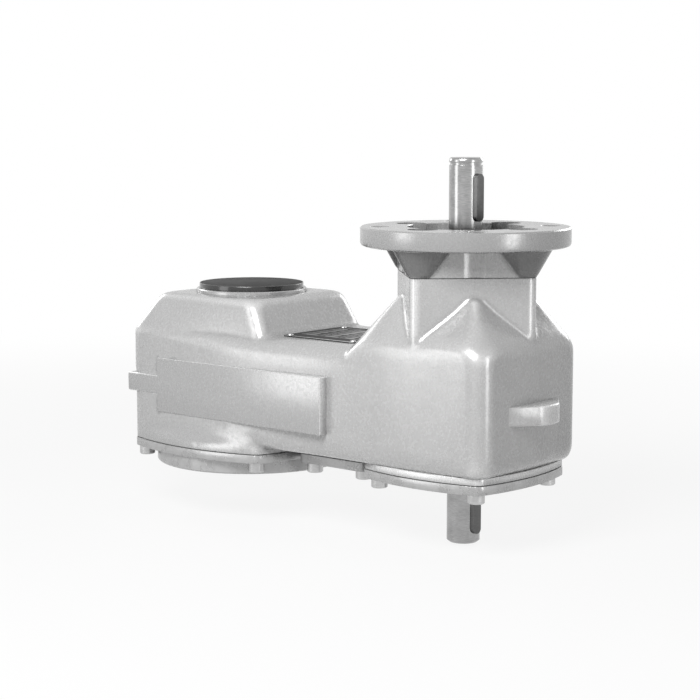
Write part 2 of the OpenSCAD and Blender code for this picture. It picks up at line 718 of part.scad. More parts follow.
module bearing_output_high_inner() {
    color(steel) race_inner(sleeve_r, bearing_out_r, bearing_out_high_z, bearing_out_t);
}
module output_seal() {
    color("Black") ring(sleeve_r + slack, 36, 0.6, 7.8);
}

module idler(teeth, turn, bush_r, hub_r, low = hub_z0) {
    difference() {
        union() {
            gear(teeth, turn, gear_z, gear_z + gear_face);
            translate([0, 0, low]) cylinder(r = hub_r, h = hub_z1 - low);
        }
        translate([0, 0, low - 1]) cylinder(r = bush_r, h = hub_z1 - low + 2, $fn = 96);
    }
}
module idler_one() {
    color(steel) translate([idler_one_x, 0, 0])
        idler(teeth_one, 180 / teeth_one, pin_one_r + bush_wall, pin_one_r + bush_wall + 5);
}
module idler_one_bush() {
    color("Peru") translate([idler_one_x, 0, 0])
        ring(pin_one_r + slack, pin_one_r + bush_wall, hub_z0, hub_z1);
}
module idler_one_pin() {
    color(machined) translate([idler_one_x, 0, flange_t + 1.5])
        cylinder(r = pin_one_r, h = pin_top - flange_t - 1.5, $fn = 96);
}
module idler_one_washers() {
    color(machined) translate([idler_one_x, 0, 0]) {
        ring(pin_one_r + slack, 11, hub_z0 - washer_t - 0.1, hub_z0 - 0.1);
        ring(pin_one_r + slack, 11, hub_z1 + 0.4, hub_z1 + 0.4 + washer_t);
    }
}
module idler_two() {
    color(steel) translate([idler_two_x, 0, 0])
        idler(teeth_two, 180, pin_two_r + bush_wall, pin_two_r + bush_wall + 4, hub_two_z0);
}
module idler_two_bush() {
    color("Peru") translate([idler_two_x, 0, 0])
        ring(pin_two_r + slack, pin_two_r + bush_wall, hub_two_z0, hub_z1);
}
module idler_two_pin() {
    color(machined) translate([idler_two_x, 0, flange_t + 1.5])
        cylinder(r = pin_two_r, h = pin_top - flange_t - 1.5, $fn = 96);
}
module idler_two_washers() {
    color(machined) translate([idler_two_x, 0, 0]) {
        ring(pin_two_r + slack, 9, hub_two_z0 - washer_t - 0.1, hub_two_z0 - 0.1);
        ring(pin_two_r + slack, 9, hub_z1 + 0.4, hub_z1 + 0.4 + washer_t);
    }
}

module key_shape(z, extra = 0) {
    rotate(key_turn) translate([shaft_r - 3.5, 0, z]) rotate([0, 90, 0]) linear_extrude(6 + extra) {
        translate([-key_w / 2, 0]) circle(d = key_w);
        translate([-key_len + key_w / 2, 0]) circle(d = key_w);
        translate([-key_len + key_w / 2, -key_w / 2]) square([key_len - key_w, key_w]);
    }
}
module top_key() {
    color(dark) translate([axis_gap, 0, 0]) key_shape(key_top_z);
}
module bottom_key() {
    color(dark) translate([axis_gap, 0, 0]) key_shape(key_low_z);
}
module shaft_groove(z, t) {
    translate([0, 0, z]) difference() {
        cylinder(r = shaft_r + 8, h = t);
        translate([0, 0, -1]) cylinder(r = shaft_r - 0.6, h = t + 2, $fn = 96);
    }
}
module input_shaft() {
    color(steel) translate([axis_gap, 0, 0]) difference() {
        union() {
            translate([0, 0, shaft_low + 1]) cylinder(r = shaft_r, h = shaft_high - shaft_low - 2, $fn = 96);
            translate([0, 0, shaft_high - 1]) cylinder(r1 = shaft_r, r2 = shaft_r - 1, h = 1, $fn = 96);
            translate([0, 0, shaft_low]) cylinder(r1 = shaft_r - 1, r2 = shaft_r, h = 1, $fn = 96);
            gear(teeth_in, 180, gear_z - 2, gear_z + gear_face + 2);
        }
        key_shape(key_top_z, 3);
        key_shape(key_low_z, 3);
        shaft_groove(shaft_high - 4.2, 1.1);
        shaft_groove(bearing_in_low_z - 1.2, 1.1);
        shaft_groove(bearing_in_high_z + bearing_in_t + 0.1, 1.1);
    }
}
module input_shaft_rings() {
    color(dark) translate([axis_gap, 0, 0]) {
        ring(shaft_r - 0.6, shaft_r + 2.2, bearing_in_low_z - 1.2, bearing_in_low_z - 0.1);
        ring(shaft_r - 0.6, shaft_r + 2.2, bearing_in_high_z + bearing_in_t + 0.1,
            bearing_in_high_z + bearing_in_t + 1.2);
    }
}
module input_spacers() {
    color(machined) translate([axis_gap, 0, 0]) {
        ring(shaft_r, shaft_r + 2.4, bearing_in_low_z + bearing_in_t, gear_z - 2);
        ring(shaft_r, shaft_r + 2.4, gear_z + gear_face + 2, bearing_in_high_z);
    }
}
module bearing_input_low_outer() {
    color(steel) translate([axis_gap, 0, 0]) race_outer(shaft_r, bearing_in_r, bearing_in_low_z, bearing_in_t);
}
module bearing_input_low_inner() {
    color(steel) translate([axis_gap, 0, 0]) race_inner(shaft_r, bearing_in_r, bearing_in_low_z, bearing_in_t);
}
module bearing_input_high_outer() {
    color(steel) translate([axis_gap, 0, 0]) race_outer(shaft_r, bearing_in_r, bearing_in_high_z, bearing_in_t);
}
module bearing_input_high_inner() {
    color(steel) translate([axis_gap, 0, 0]) race_inner(shaft_r, bearing_in_r, bearing_in_high_z, bearing_in_t);
}
module input_seals() {
    color("Black") translate([axis_gap, 0, 0]) {
        ring(shaft_r + slack, 17.5, flange_t + 0.4, flange_t + 6);
        ring(shaft_r + slack, bearing_in_r, bearing_in_high_z + bearing_in_t + 4,
            bearing_in_high_z + bearing_in_t + 11);
    }
}
module neck_ring() {
    color(dark) translate([axis_gap, 0, 0])
        ring(bearing_in_r - 2, bearing_in_r + 1.4, bearing_in_high_z + bearing_in_t,
            bearing_in_high_z + bearing_in_t + 1.4);
}

housing();
output_base_plate();
input_base_plate();
idler_cover();
input_flange();
output_gasket();
input_gasket();
cover_gasket();
flange_gasket();
output_plate_screws();
input_plate_screws();
cover_screws();
flange_screws();
stem_cap();
cap_seal_ring();
nameplate();
nameplate_rivets();
output_sleeve();
output_wheel();
output_wheel_key();
output_wheel_ring();
drive_bush();
bearing_output_low_outer();
bearing_output_low_inner();
bearing_output_high_outer();
bearing_output_high_inner();
output_seal();
idler_one();
idler_one_bush();
idler_one_pin();
idler_one_washers();
idler_two();
idler_two_bush();
idler_two_pin();
idler_two_washers();
input_shaft();
top_key();
bottom_key();
input_spacers();
input_shaft_rings();
bearing_input_low_outer();
bearing_input_low_inner();
bearing_input_high_outer();
bearing_input_high_inner();
input_seals();
neck_ring();
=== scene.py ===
# %% [markdown]
# # A cast spur gearbox
# This lesson dresses a packed gearbox for its portrait. The gears, shafts and bearings come from the packed
# model and keep their places. What the photograph shows from outside is built again here with softer edges:
# the sand-cast housing, the input flange, the bolted plates, the shaft and the small trim.
# Everything is worked out in millimetres and turned into metres when a piece is finished.

# %% Load the fixed frame
import json
import math
import bmesh
import bpy
from mathutils import Matrix, Vector


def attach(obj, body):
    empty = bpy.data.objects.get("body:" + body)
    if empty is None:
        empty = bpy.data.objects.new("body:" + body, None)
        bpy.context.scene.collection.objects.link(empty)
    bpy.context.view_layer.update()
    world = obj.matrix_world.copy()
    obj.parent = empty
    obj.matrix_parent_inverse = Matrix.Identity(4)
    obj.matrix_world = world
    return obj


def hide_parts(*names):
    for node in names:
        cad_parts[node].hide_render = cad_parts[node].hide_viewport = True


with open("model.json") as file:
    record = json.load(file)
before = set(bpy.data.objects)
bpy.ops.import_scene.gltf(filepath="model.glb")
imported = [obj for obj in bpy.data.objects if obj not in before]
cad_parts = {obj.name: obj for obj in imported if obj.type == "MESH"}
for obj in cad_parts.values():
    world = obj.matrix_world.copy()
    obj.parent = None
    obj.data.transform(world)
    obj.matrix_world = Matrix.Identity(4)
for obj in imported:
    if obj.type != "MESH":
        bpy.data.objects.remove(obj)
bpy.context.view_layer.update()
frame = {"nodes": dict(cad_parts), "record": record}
MM = 0.001

# %% [markdown]
# ## The sizes that every piece shares
# The origin is the centre of the output flange's face, X runs to the input axis and Z points up. Two axes
# carry everything, so their distance comes first, and then the heights where the castings are machined flat.

# %% Shared sizes in millimetres
AXIS_GAP = 174.0
JOINT_Z = 15.0
PLATE_TOP = 14.5
FLANGE_T = 9.0
DECK_Z = 88.0
DOME_TOP = 110.0
RING_TOP = 112.4
NECK_TOP = 131.5
FOOT_Z = 132.0
DISC_Z = 148.0
FLANGE_TOP = 159.5
FLANGE_R = 62.5
TOWER_HALF = 56.3
BOX_HALF = 50.0
NECK_HALF = 37.0
NECK_CORNER = NECK_HALF * math.sqrt(2)
NOTCH_Z = FOOT_Z + 2
NOTCH_LOW = 12.5
NOTCH_HIGH = 23.0
BOLT_RING = 51.0
NECK_SCREW_RING = 41.0
OUTPUT_SCREW_RING = 49 * math.sqrt(2)
INPUT_SCREW_RING = 36 * math.sqrt(2)
PIN_NEAR_OUTPUT = (81, 0)
PIN_NEAR_INPUT = (138, 0)
OUTPUT_AXIS = (0.0, 0.0)
INPUT_AXIS = (AXIS_GAP, 0.0)

# %% [markdown]
# ## Small tools for making meshes
# A piece starts as a bmesh, which is a mesh in memory that operators can shape. The tools below start the
# shapes that come up again and again: a block with rounded upright edges, a turned part spun from its
# profile, and a column that grows upwards through outlines of equal count, one extrusion at a time.

# %% Tools for blocks, turned parts and columns
def mix(low, high, share):
    return low + (high - low) * share


def ease(start, end, value):
    share = min(1.0, max(0.0, (value - start) / (end - start)))
    return share * share * (3 - 2 * share)


def upright(edge):
    side = edge.verts[0].co - edge.verts[1].co
    return abs(side.z) > 0.9 * side.length


def round_edges(bm, edges, radius, segments=6):
    """Bevels edges with a round profile."""
    bmesh.ops.bevel(bm, geom=list(edges), offset=radius, offset_type="OFFSET", segments=segments,
                    profile=0.5, affect="EDGES", clamp_overlap=True, material=-1)


def block(low, high, radius=0.0, segments=6, turn=0.0):
    """A box between two corners, its upright edges rounded, turned about its own middle."""
    bm = bmesh.new()
    bmesh.ops.create_cube(bm, size=1)
    size = [h - l for l, h in zip(low, high)]
    middle = [(l + h) / 2 for l, h in zip(low, high)]
    bmesh.ops.scale(bm, vec=size, verts=bm.verts)
    if radius:
        round_edges(bm, [e for e in bm.edges if upright(e)], radius, segments)
    if turn:
        bmesh.ops.rotate(bm, cent=(0, 0, 0), matrix=Matrix.Rotation(turn, 3, "Z"), verts=bm.verts)
    bmesh.ops.translate(bm, vec=middle, verts=bm.verts)
    return bm


def turned(profile, axis=(0.0, 0.0), steps=128):
    """A solid of revolution: the profile of radius and height pairs is spun once round an upright axis."""
    bm = bmesh.new()
    verts = [bm.verts.new((r, 0, z)) for r, z in profile]
    edges = [bm.edges.new(pair) for pair in zip(verts, verts[1:] + verts[:1])]
    if profile[0][0] == 0 and profile[-1][0] == 0:
        bm.edges.remove(edges.pop())
    bmesh.ops.spin(bm, geom=verts + edges, cent=(0, 0, 0), axis=(0, 0, 1), angle=2 * math.pi, steps=steps,
                   use_merge=True)
    bmesh.ops.remove_doubles(bm, verts=bm.verts, dist=0.0005)
    bmesh.ops.recalc_face_normals(bm, faces=bm.faces)
    bmesh.ops.translate(bm, vec=(axis[0], axis[1], 0), verts=bm.verts)
    return bm


def column(outlines):
    """A closed solid that grows from its first outline, by one extrusion to each next outline."""
    bm = bmesh.new()
    face = bm.faces.new([bm.verts.new(point) for point in outlines[0]])
    for outline in outlines[1:]:
        grown = bmesh.ops.extrude_face_region(bm, geom=[face, *face.edges, *face.verts])
        face = next(part for part in grown["geom"] if isinstance(part, bmesh.types.BMFace))
        for vert, point in zip(face.verts, outline):
            vert.co = point
    bmesh.ops.recalc_face_normals(bm, faces=bm.faces)
    return bm


def pin(radius, low, high, at=(0.0, 0.0), segments=64, top_radius=None):
    """A plain cylinder or cone between two heights."""
    bm = bmesh.new()
    bmesh.ops.create_cone(bm, cap_ends=True, segments=segments, radius1=radius,
                          radius2=radius if top_radius is None else top_radius, depth=high - low,
                          matrix=Matrix.Translation((at[0], at[1], (low + high) / 2)))
    return bm


def gather(*parts):
    """Puts several shapes into one bmesh."""
    whole = bmesh.new()
    for part in parts:
        spare = bpy.data.meshes.new("spare")
        part.to_mesh(spare)
        part.free()
        whole.from_mesh(spare)
        bpy.data.meshes.remove(spare)
    return whole


def around(make, count, radius, axis, first=0.0):
    """Places one shape several times round an axis."""
    parts = []
    for index in range(count):
        angle = math.radians(first + 360 * index / count)
        parts.append(make((axis[0] + radius * math.cos(angle), axis[1] + radius * math.sin(angle))))
    return gather(*parts)


# %% [markdown]
# ## Finishing a piece
# Each finished piece is scaled to metres, shaded smooth with crisp lines only where faces meet at a clear
# angle, and told which body it moves with, and the imported nodes that it stands for are hidden.

# %% Tools that finish a piece
def as_object(name, bm):
    mesh = bpy.data.meshes.new(name)
    bm.to_mesh(mesh)
    bm.free()
    thing = bpy.data.objects.new(name, mesh)
    bpy.context.scene.collection.objects.link(thing)
    return thing


def apply_modifiers(thing):
    bpy.context.view_layer.update()
    seen = thing.evaluated_get(bpy.context.evaluated_depsgraph_get())
    mesh = bpy.data.meshes.new_from_object(seen)
    old = thing.data
    thing.modifiers.clear()
    thing.data = mesh
    bpy.data.meshes.remove(old)


def combine(thing, tool_bm, operation):
    """Cuts a shape from a piece, or joins it on."""
    tool = as_object("tool", tool_bm)
    step = thing.modifiers.new("combine", "BOOLEAN")
    step.operation = operation
    step.solver = "MANIFOLD"
    step.object = tool
    apply_modifiers(thing)
    bpy.data.objects.remove(tool)


def finish_piece(thing, body, nodes, angle=35.0, in_mm=True):
    """Scales to metres, shades, ties the piece to its body and hides the nodes that it replaces."""
    if in_mm:
        thing.data.transform(Matrix.Scale(MM, 4))
    thing.data.shade_smooth()
    thing.data.set_sharp_from_angle(angle=math.radians(angle))
    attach(thing, body)
    if nodes:
        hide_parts(*nodes)
    print(thing.name, len(thing.data.polygons), "faces")
    return thing


# %% [markdown]
# ## Where the skin bends
# Outer edges get a painted highlight, with the paint also worn thin there, and the inner folds get painted
# shade. A material can't see the shape of its piece, so the bend of the skin is measured once on the mesh
# and kept as a number at every point: 0 in a fold, 0.5 on a flat and 1 on an edge. Points beside a face
# wider than a few square millimetres stay near 0.5, so the flat machined faces keep their plain colour.

# %% Tool that measures the bend
def mark_bends(thing, gain, wide=5.0, rounds=2):
    bm = bmesh.new()
    bm.from_mesh(thing.data)
    bends = []
    for vert in bm.verts:
        total, count = 0.0, 0
        if max(face.calc_area() for face in vert.link_faces) < wide:
            for edge in vert.link_edges:
                across = max(0.3, (edge.link_faces[0].calc_center_median()
                                   - edge.link_faces[1].calc_center_median()).length)
                total += edge.calc_face_angle_signed(0.0) / across
                count += 1
        bends.append(total / max(1, count))
    for step in range(rounds):
        bends = [0.5 * bends[v.index] + 0.5 * sum(bends[e.other_vert(v).index] for e in v.link_edges)
                 / len(v.link_edges) for v in bm.verts]
    bm.free()
    layer = thing.data.attributes.new("bend", "FLOAT", "POINT")
    layer.data.foreach_set("value", [min(1.0, max(0.0, 0.5 + gain * bend)) for bend in bends])
    print(thing.name, "bends from", round(min(bends), 3), "to", round(max(bends), 3), "per mm")


# %% [markdown]
# ## Outlines of the casting
# The bolted plates are squares whose sides bow outwards, so that they can hold round openings. The corner
# points follow from where the corner's circle touches the long arc of the side. The housing's own outline
# is a long box whose left end is wider: its sides ease inwards from the output tower to the input end.

# %% Outlines as points
def bowed(half, bow, corner, cx=0.0, sides=14, turns=6):
    """A square with bowed sides and round corners."""
    back = bow - half
    reach = (-back + math.sqrt(2 * (bow - corner) ** 2 - back ** 2)) / 2
    lean = math.atan2(reach, reach + back)
    quarter = []
    for i in range(sides + 1):
        angle = mix(-lean, lean, i / sides)
        quarter.append((bow * math.cos(angle) - back, bow * math.sin(angle)))
    for i in range(1, turns):
        angle = mix(lean, math.pi / 2 - lean, i / turns)
        quarter.append((reach + corner * math.cos(angle), reach + corner * math.sin(angle)))
    points = []
    for q in range(4):
        c, s = round(math.cos(q * math.pi / 2)), round(math.sin(q * math.pi / 2))
        points += [(cx + x * c - y * s, x * s + y * c) for x, y in quarter]
    return points


def at_height(outline, z):
    return [(x, y, z) for x, y in outline]


def hump(middle, spread, value):
    """A smooth bulge of height 1."""
    share = max(-1.0, min(1.0, (value - middle) / spread))
    return math.cos(share * math.pi / 2) ** 2


def side_reach(x):
    """The long walls ease inwards from the tower, then bow out a little at the input end."""
    wall = mix(TOWER_HALF, BOX_HALF + 0.6, ease(12, 112, x))
    return wall + 1.6 * hump(170, 52, x) - 0.6 * ease(150, 210, x)


def shoulder(x):
    """Radius of the deck's rounded edge: wide along the saddle, tighter at both towers."""
    return mix(4.0, 14.0, ease(-52, 70, x)) * mix(1.0, 0.42, ease(100, 168, x))


def body_outline():
    """Points of the long body, anticlockwise, each with the direction that the wall faces there."""
    right, left = AXIS_GAP + BOX_HALF - 12, TOWER_HALF - 9
    corner = [math.radians(i * 11.25) for i in range(9)]
    half = [(AXIS_GAP + BOX_HALF + 2.2 * hump(0, 42, y), y) for y in range(0, 38, 4)]
    half += [(right + 12 * math.cos(a), 38 + 12 * math.sin(a)) for a in corner]
    half += [(x, side_reach(x)) for x in range(208, -44, -4)]
    half += [(-left - 9 * math.sin(a), left + 9 * math.cos(a)) for a in corner]
    half += [(-TOWER_HALF, y) for y in range(40, -1, -8)]
    points = half + [(x, -y) for x, y in reversed(half[1:-1])]
    walls = []
    for before, (x, y), after in zip(points[-1:] + points[:-1], points, points[1:] + points[:1]):
        run, rise = after[0] - before[0], after[1] - before[1]
        length = math.hypot(run, rise)
        walls.append((x, y, rise / length, -run / length))
    return walls


def body_ring(outline, angle, upper):
    """The outline pulled in round the top edge or the bottom edge by an angle of its rounding."""
    ring = []
    for x, y, nx, ny in outline:
        r = shoulder(x) if upper else 9.5
        depth = r if upper else 6.0
        inset = depth * (1 - math.cos(angle))
        z = DECK_Z - r * (1 - math.sin(angle)) if upper else 28 - r * math.sin(angle)
        ring.append((x - inset * nx, y - inset * ny, z))
    return ring


# %% [markdown]
# ## The housing, cast in sand
# A sand casting has no sharp inner corners: metal that pours into a mould leaves fillets everywhere. The
# blank is therefore built from plain overlapping solids, melted into one skin by a voxel remesh, and then
# smoothed, which rounds each corner by a few millimetres. The machined faces are cut afterwards, so they
# stay crisp, as on the real part.

# %% The blank of the housing
outline = body_outline()
lower = [body_ring(outline, math.radians(a), False) for a in (80, 64, 48, 32, 16, 0)]
upper = [body_ring(outline, math.radians(a), True) for a in (0, 15, 30, 45, 60, 75, 90)]
long_body = column(lower + upper)

tower = block((-TOWER_HALF, -TOWER_HALF, 9), (TOWER_HALF - 16, TOWER_HALF, 66), 9)


def dome_side(x, z):
    """Half width of the tower: upright at the left end, set back behind the shoulder at the right."""
    at_left = mix(TOWER_HALF, 45.4, max(0.0, z - 86.5) / 19.5)
    at_right = mix(mix(TOWER_HALF, 50.0, ease(62, 80, z)), 45.4, max(0.0, z - 80) / 26)
    return mix(at_left, at_right, ease(-45, 50, x))


def dome_ring(z, crown=None):
    """One level of the tower: round corners, with long sides that lean by their place."""
    slope = crown or 54.8 - 0.522 * (z - 88)
    left, right = min(TOWER_HALF, slope), min(slope, 48 + 0.52 * max(0, z - 70))
    ring = []
    for q, (sx, sy) in enumerate(((1, 1), (-1, 1), (-1, -1), (1, -1))):
        corner_x = sx * ((right if sx > 0 else left) - 8)
        for i in range(9):
            a = math.radians(90 * q + 11.25 * i)
            x = corner_x + 8 * math.cos(a)
            ring.append((x, sy * ((crown or dome_side(x, z)) - 8) + 8 * math.sin(a), z))
        if q in (0, 2):
            far = -sx * ((left if sx > 0 else right) - 8)
            for i in range(1, 12):
                x = mix(corner_x, far, i / 12)
                ring.append((x, sy * (crown or dome_side(x, z)), z))
    return ring


dome_levels = [60] + list(range(64, 89, 2)) + [92, 97, 102, 106]
dome_crown = [(44.0, 108), (41.6, 109.5), (38.5, 110)]
dome = column([dome_ring(z) for z in dome_levels] + [dome_ring(z, crown) for crown, z in dome_crown])
dome_disc = pin(34, 80, DOME_TOP, segments=96)

skirt = column([at_height(bowed(64.1, 150, 7), 9), at_height(bowed(64.1, 150, 7), 18.5),
                at_height(bowed(62.4, 175, 7.5), 20.5), at_height(bowed(59.2, 260, 8), 24.5),
                at_height(bowed(56.6, 700, 9), 30), at_height(bowed(54.5, 900, 9), 36)])


def hip_outline(z):
    """The pyramid's outline at one height: bowed sides that meet in round hips."""
    side, hip, r = 49.93 - 0.943 * (z - 94.7), 50.6 - 0.64 * (z - DECK_Z), mix(15, 9, (z - DECK_Z) / 30)
    quarter = []
    for i in range(-6, 7):
        y = (hip - r) * i / 6
        quarter.append((side - (side - hip) * (y / hip) ** 2, y))
    x0, y0 = quarter[-1]
    for i in range(1, 8):
        t = i / 8
        a, b, c = (1 - t) ** 2, 2 * t * (1 - t), t * t
        quarter.append((a * x0 + b * hip + c * y0, a * y0 + b * hip + c * x0))
    turns = [(1, 0), (0, 1), (-1, 0), (0, -1)]
    return [(AXIS_GAP + x * c - y * s, x * s + y * c) for c, s in turns for x, y in quarter]


def reach_of(outline, angle):
    """How far an outline lies from the input axis in one direction."""
    ux, uy = math.cos(angle), math.sin(angle)
    for (x0, y0), (x1, y1) in zip(outline, outline[1:] + outline[:1]):
        x0, x1 = x0 - AXIS_GAP, x1 - AXIS_GAP
        side0, side1 = ux * y0 - uy * x0, ux * y1 - uy * x1
        if side0 * side1 <= 0 and side0 != side1:
            t = side0 / (side0 - side1)
            along = ux * (x0 + t * (x1 - x0)) + uy * (y0 + t * (y1 - y0))
            if along > 0:
                return along
    return 0.0


RAYS = [math.radians(i * 2.5) for i in range(144)]
WALL_REACH = [reach_of([(x, y) for x, y, nx, ny in outline], a) for a in RAYS]


def pyramid_ring(z):
    """Where the pyramid or the wall is nearer, with a soft change from one to the other."""
    ring = []
    hips = hip_outline(z)
    for a, wall in zip(RAYS, WALL_REACH):
        slope = reach_of(hips, a)
        soft = mix(7.0, 4.0, abs(math.sin(2 * a)) ** 2)
        overlap = max(0.0, 1 - abs(wall - slope) / soft)
        reach = min(wall, slope) - overlap ** 2 * soft / 4
        ring.append((AXIS_GAP + reach * math.cos(a), reach * math.sin(a), z))
    return ring


pyramid_levels = list(range(80, 99, 2)) + [101, 104, 108, 112, 116, 119]
pyramid = column([pyramid_ring(z) for z in pyramid_levels])
neck = block((AXIS_GAP - NECK_HALF, -NECK_HALF, 84), (AXIS_GAP + NECK_HALF, NECK_HALF, 138),
             5, 5, math.pi / 4)

housing = as_object("housing_cast", gather(long_body, tower, dome, dome_disc, skirt, pyramid, neck))

# %% [markdown]
# ## Melt, smooth and machine the housing
# The remesh turns the overlapping solids into one skin of even quads. The pads, the corner lugs and the end
# lug go on after a first smoothing, because their edges are tighter than the casting's own corners.

# %% Melt and smooth
VOXEL = 1.25


def melt(thing, voxel, rounds):
    remesh = thing.modifiers.new("melt", "REMESH")
    remesh.mode = "VOXEL"
    remesh.voxel_size = voxel
    remesh.adaptivity = 0.0
    smooth = thing.modifiers.new("settle", "SMOOTH")
    smooth.factor = 0.5
    smooth.iterations = rounds
    apply_modifiers(thing)


melt(housing, VOXEL, 14)
print("housing after the first melt:", len(housing.data.polygons))


def pad(side):
    low, high = sorted((side * 57.0, side * 46.0))
    bm = block((-31, low, 33.7), (108.7, high, 69))
    round_edges(bm, bm.edges, 0.7, 3)
    return bm


def corner_lug(side):
    low, high = sorted((side * 57.0, side * 41.0))
    bm = block((-58.5, low, 45.3), (-28, high, 57.5))
    round_edges(bm, bm.edges, 1.4, 4)
    return bm


def end_lug():
    face = AXIS_GAP + BOX_HALF
    low, high = 47.3, 59.0
    points = [(-6, -26.3), (0, -26.3), (14, -7), (14, 7), (0, 26.3), (-6, 26.3)]
    bm = column([[(face + x, y, low) for x, y in points], [(face + x, y, high) for x, y in points]])
    round_edges(bm, [e for e in bm.edges if upright(e) and e.verts[0].co.x > face + 10], 4, 6)
    round_edges(bm, [e for e in bm.edges if not upright(e) and e.calc_face_angle(0) > 1], 1.2, 3)
    return bm


def ledge(points, high, bevel):
    """A flat-topped foot that the plates are bolted to."""
    bm = column([at_height(points, 9), at_height(points, high)])
    top = [e for e in bm.edges if not upright(e) and e.verts[0].co.z > 10 and e.calc_face_angle(0) > 1]
    round_edges(bm, top, bevel, 3)
    return bm


lip = ledge(bowed(49.7, 140, 7, AXIS_GAP), 19, 0.6)
cover_foot = ledge([(68.8, -30.8), (120.2, -30.8), (120.2, 30.8), (68.8, 30.8)], 18.5, 0.6)
for lump in (pad(-1), pad(1), corner_lug(-1), corner_lug(1), end_lug(), lip, cover_foot):
    combine(housing, lump, "UNION")
print("housing with pads and lugs:", len(housing.data.polygons))

# %% Machine the housing
combine(housing, block((-90, -90, -10), (260, 90, JOINT_Z)), "DIFFERENCE")
combine(housing, block((90, -90, NECK_TOP), (260, 90, 160)), "DIFFERENCE")
ring_boss = turned([(30, 104), (36, 104), (36, RING_TOP - 0.5), (35.5, RING_TOP), (30, RING_TOP)])
combine(housing, ring_boss, "UNION")
hollow = gather(pin(50, 5, 80, segments=96))
combine(housing, hollow, "DIFFERENCE")
combine(housing, block((0, -44, 21), (AXIS_GAP + 44, 44, 80), 6), "DIFFERENCE")
combine(housing, turned([(0, 70), (44, 70), (44, 84), (40, 84), (40, 100), (30, 100), (30, 120), (0, 120)]),
        "DIFFERENCE")
combine(housing, turned([(0, 70), (34, 79), (22, 98), (18, 98), (18, 104), (21, 104), (21, 140), (0, 140)],
                        INPUT_AXIS), "DIFFERENCE")
combine(housing, gather(pin(28.05, 5, 23, INPUT_AXIS, 96)), "DIFFERENCE")
combine(housing, gather(pin(11.05, 5, 23, PIN_NEAR_OUTPUT), pin(9.05, 5, 23, PIN_NEAR_INPUT)), "DIFFERENCE")
mark_bends(housing, 2.5)
finish_piece(housing, "case", ["housing"], 38)

# %% [markdown]
# ## The input flange
# The upper flange is cast too. Its stem continues the neck, and each of the four screws sits in a cone
# inside a conical notch. The stem is melted and smoothed like the housing. The disc is turned on a lathe,
# so it is spun from a profile with small chamfers and joined to the stem crisp.

# %% The stem of the input flange
stem_block = block((AXIS_GAP - NECK_HALF, -NECK_HALF, FOOT_Z - 6),
                   (AXIS_GAP + NECK_HALF, NECK_HALF, DISC_Z + 6), 5, 5, math.pi / 4)
stem = as_object("input_flange_cast", stem_block)
combine(stem, around(lambda at: pin(NOTCH_LOW, NOTCH_Z, DISC_Z, at, 64, NOTCH_HIGH), 4, NECK_CORNER,
                     INPUT_AXIS), "DIFFERENCE")
combine(stem, around(lambda at: pin(15.25, FOOT_Z - 8, DISC_Z, at, 96), 4, BOLT_RING, INPUT_AXIS, 45),
        "DIFFERENCE")
combine(stem, around(lambda at: pin(9.2, FOOT_Z + 0.8, DISC_Z + 4, at, 64, 20), 4, NECK_SCREW_RING,
                     INPUT_AXIS), "UNION")
melt(stem, 0.6, 4)

# %% The disc of the input flange and its holes
disc = turned([(8, DISC_Z), (FLANGE_R - 2.2, DISC_Z), (FLANGE_R - 0.6, DISC_Z + 0.7),
               (FLANGE_R, DISC_Z + 2.2), (FLANGE_R, FLANGE_TOP - 0.8), (FLANGE_R - 0.8, FLANGE_TOP),
               (8, FLANGE_TOP)], INPUT_AXIS, 192)
combine(stem, block((100, -90, DISC_Z + 3), (260, 90, 180)), "DIFFERENCE")
combine(stem, block((100, -90, 100), (260, 90, FOOT_Z)), "DIFFERENCE")
combine(stem, disc, "UNION")
recess = turned([(0, 154.5), (35, 154.5), (35, 159.0), (35.5, 159.5), (35.5, 165), (0, 165)],
                INPUT_AXIS, 128)
combine(stem, recess, "DIFFERENCE")
combine(stem, pin(30, FOOT_Z + 6, 165, INPUT_AXIS, 96), "DIFFERENCE")
combine(stem, pin(12, 120, 165, INPUT_AXIS, 64), "DIFFERENCE")
combine(stem, around(lambda at: pin(9, 141, 165, at), 4, NECK_SCREW_RING, INPUT_AXIS), "DIFFERENCE")
combine(stem, around(lambda at: pin(4.5, 120, 165, at, 32), 4, NECK_SCREW_RING, INPUT_AXIS), "DIFFERENCE")
bolt_hole = [(0, 140), (5.5, 140), (5.5, 159.0), (6.0, 159.5), (6.0, 165), (0, 165)]
combine(stem, around(lambda at: turned(bolt_hole, at, 48), 4, BOLT_RING, INPUT_AXIS, 45), "DIFFERENCE")
mark_bends(stem, 1.2, 1.5, 3)
finish_piece(stem, "case", ["input_flange"], 38)

# %% [markdown]
# ## The bolted plates
# The plates under the housing are machined all over. Each is an outline extruded upwards, with a fine bevel
# on its rims, and the output plate carries the round flange that the gearbox stands on.

# %% Plates, flange and cover
def plate(points, low, high, bevel=0.5):
    bm = column([at_height(points, low), at_height(points, high)])
    rims = [e for e in bm.edges if not upright(e) and e.calc_face_angle(0) > 1]
    round_edges(bm, rims, bevel, 2)
    return bm


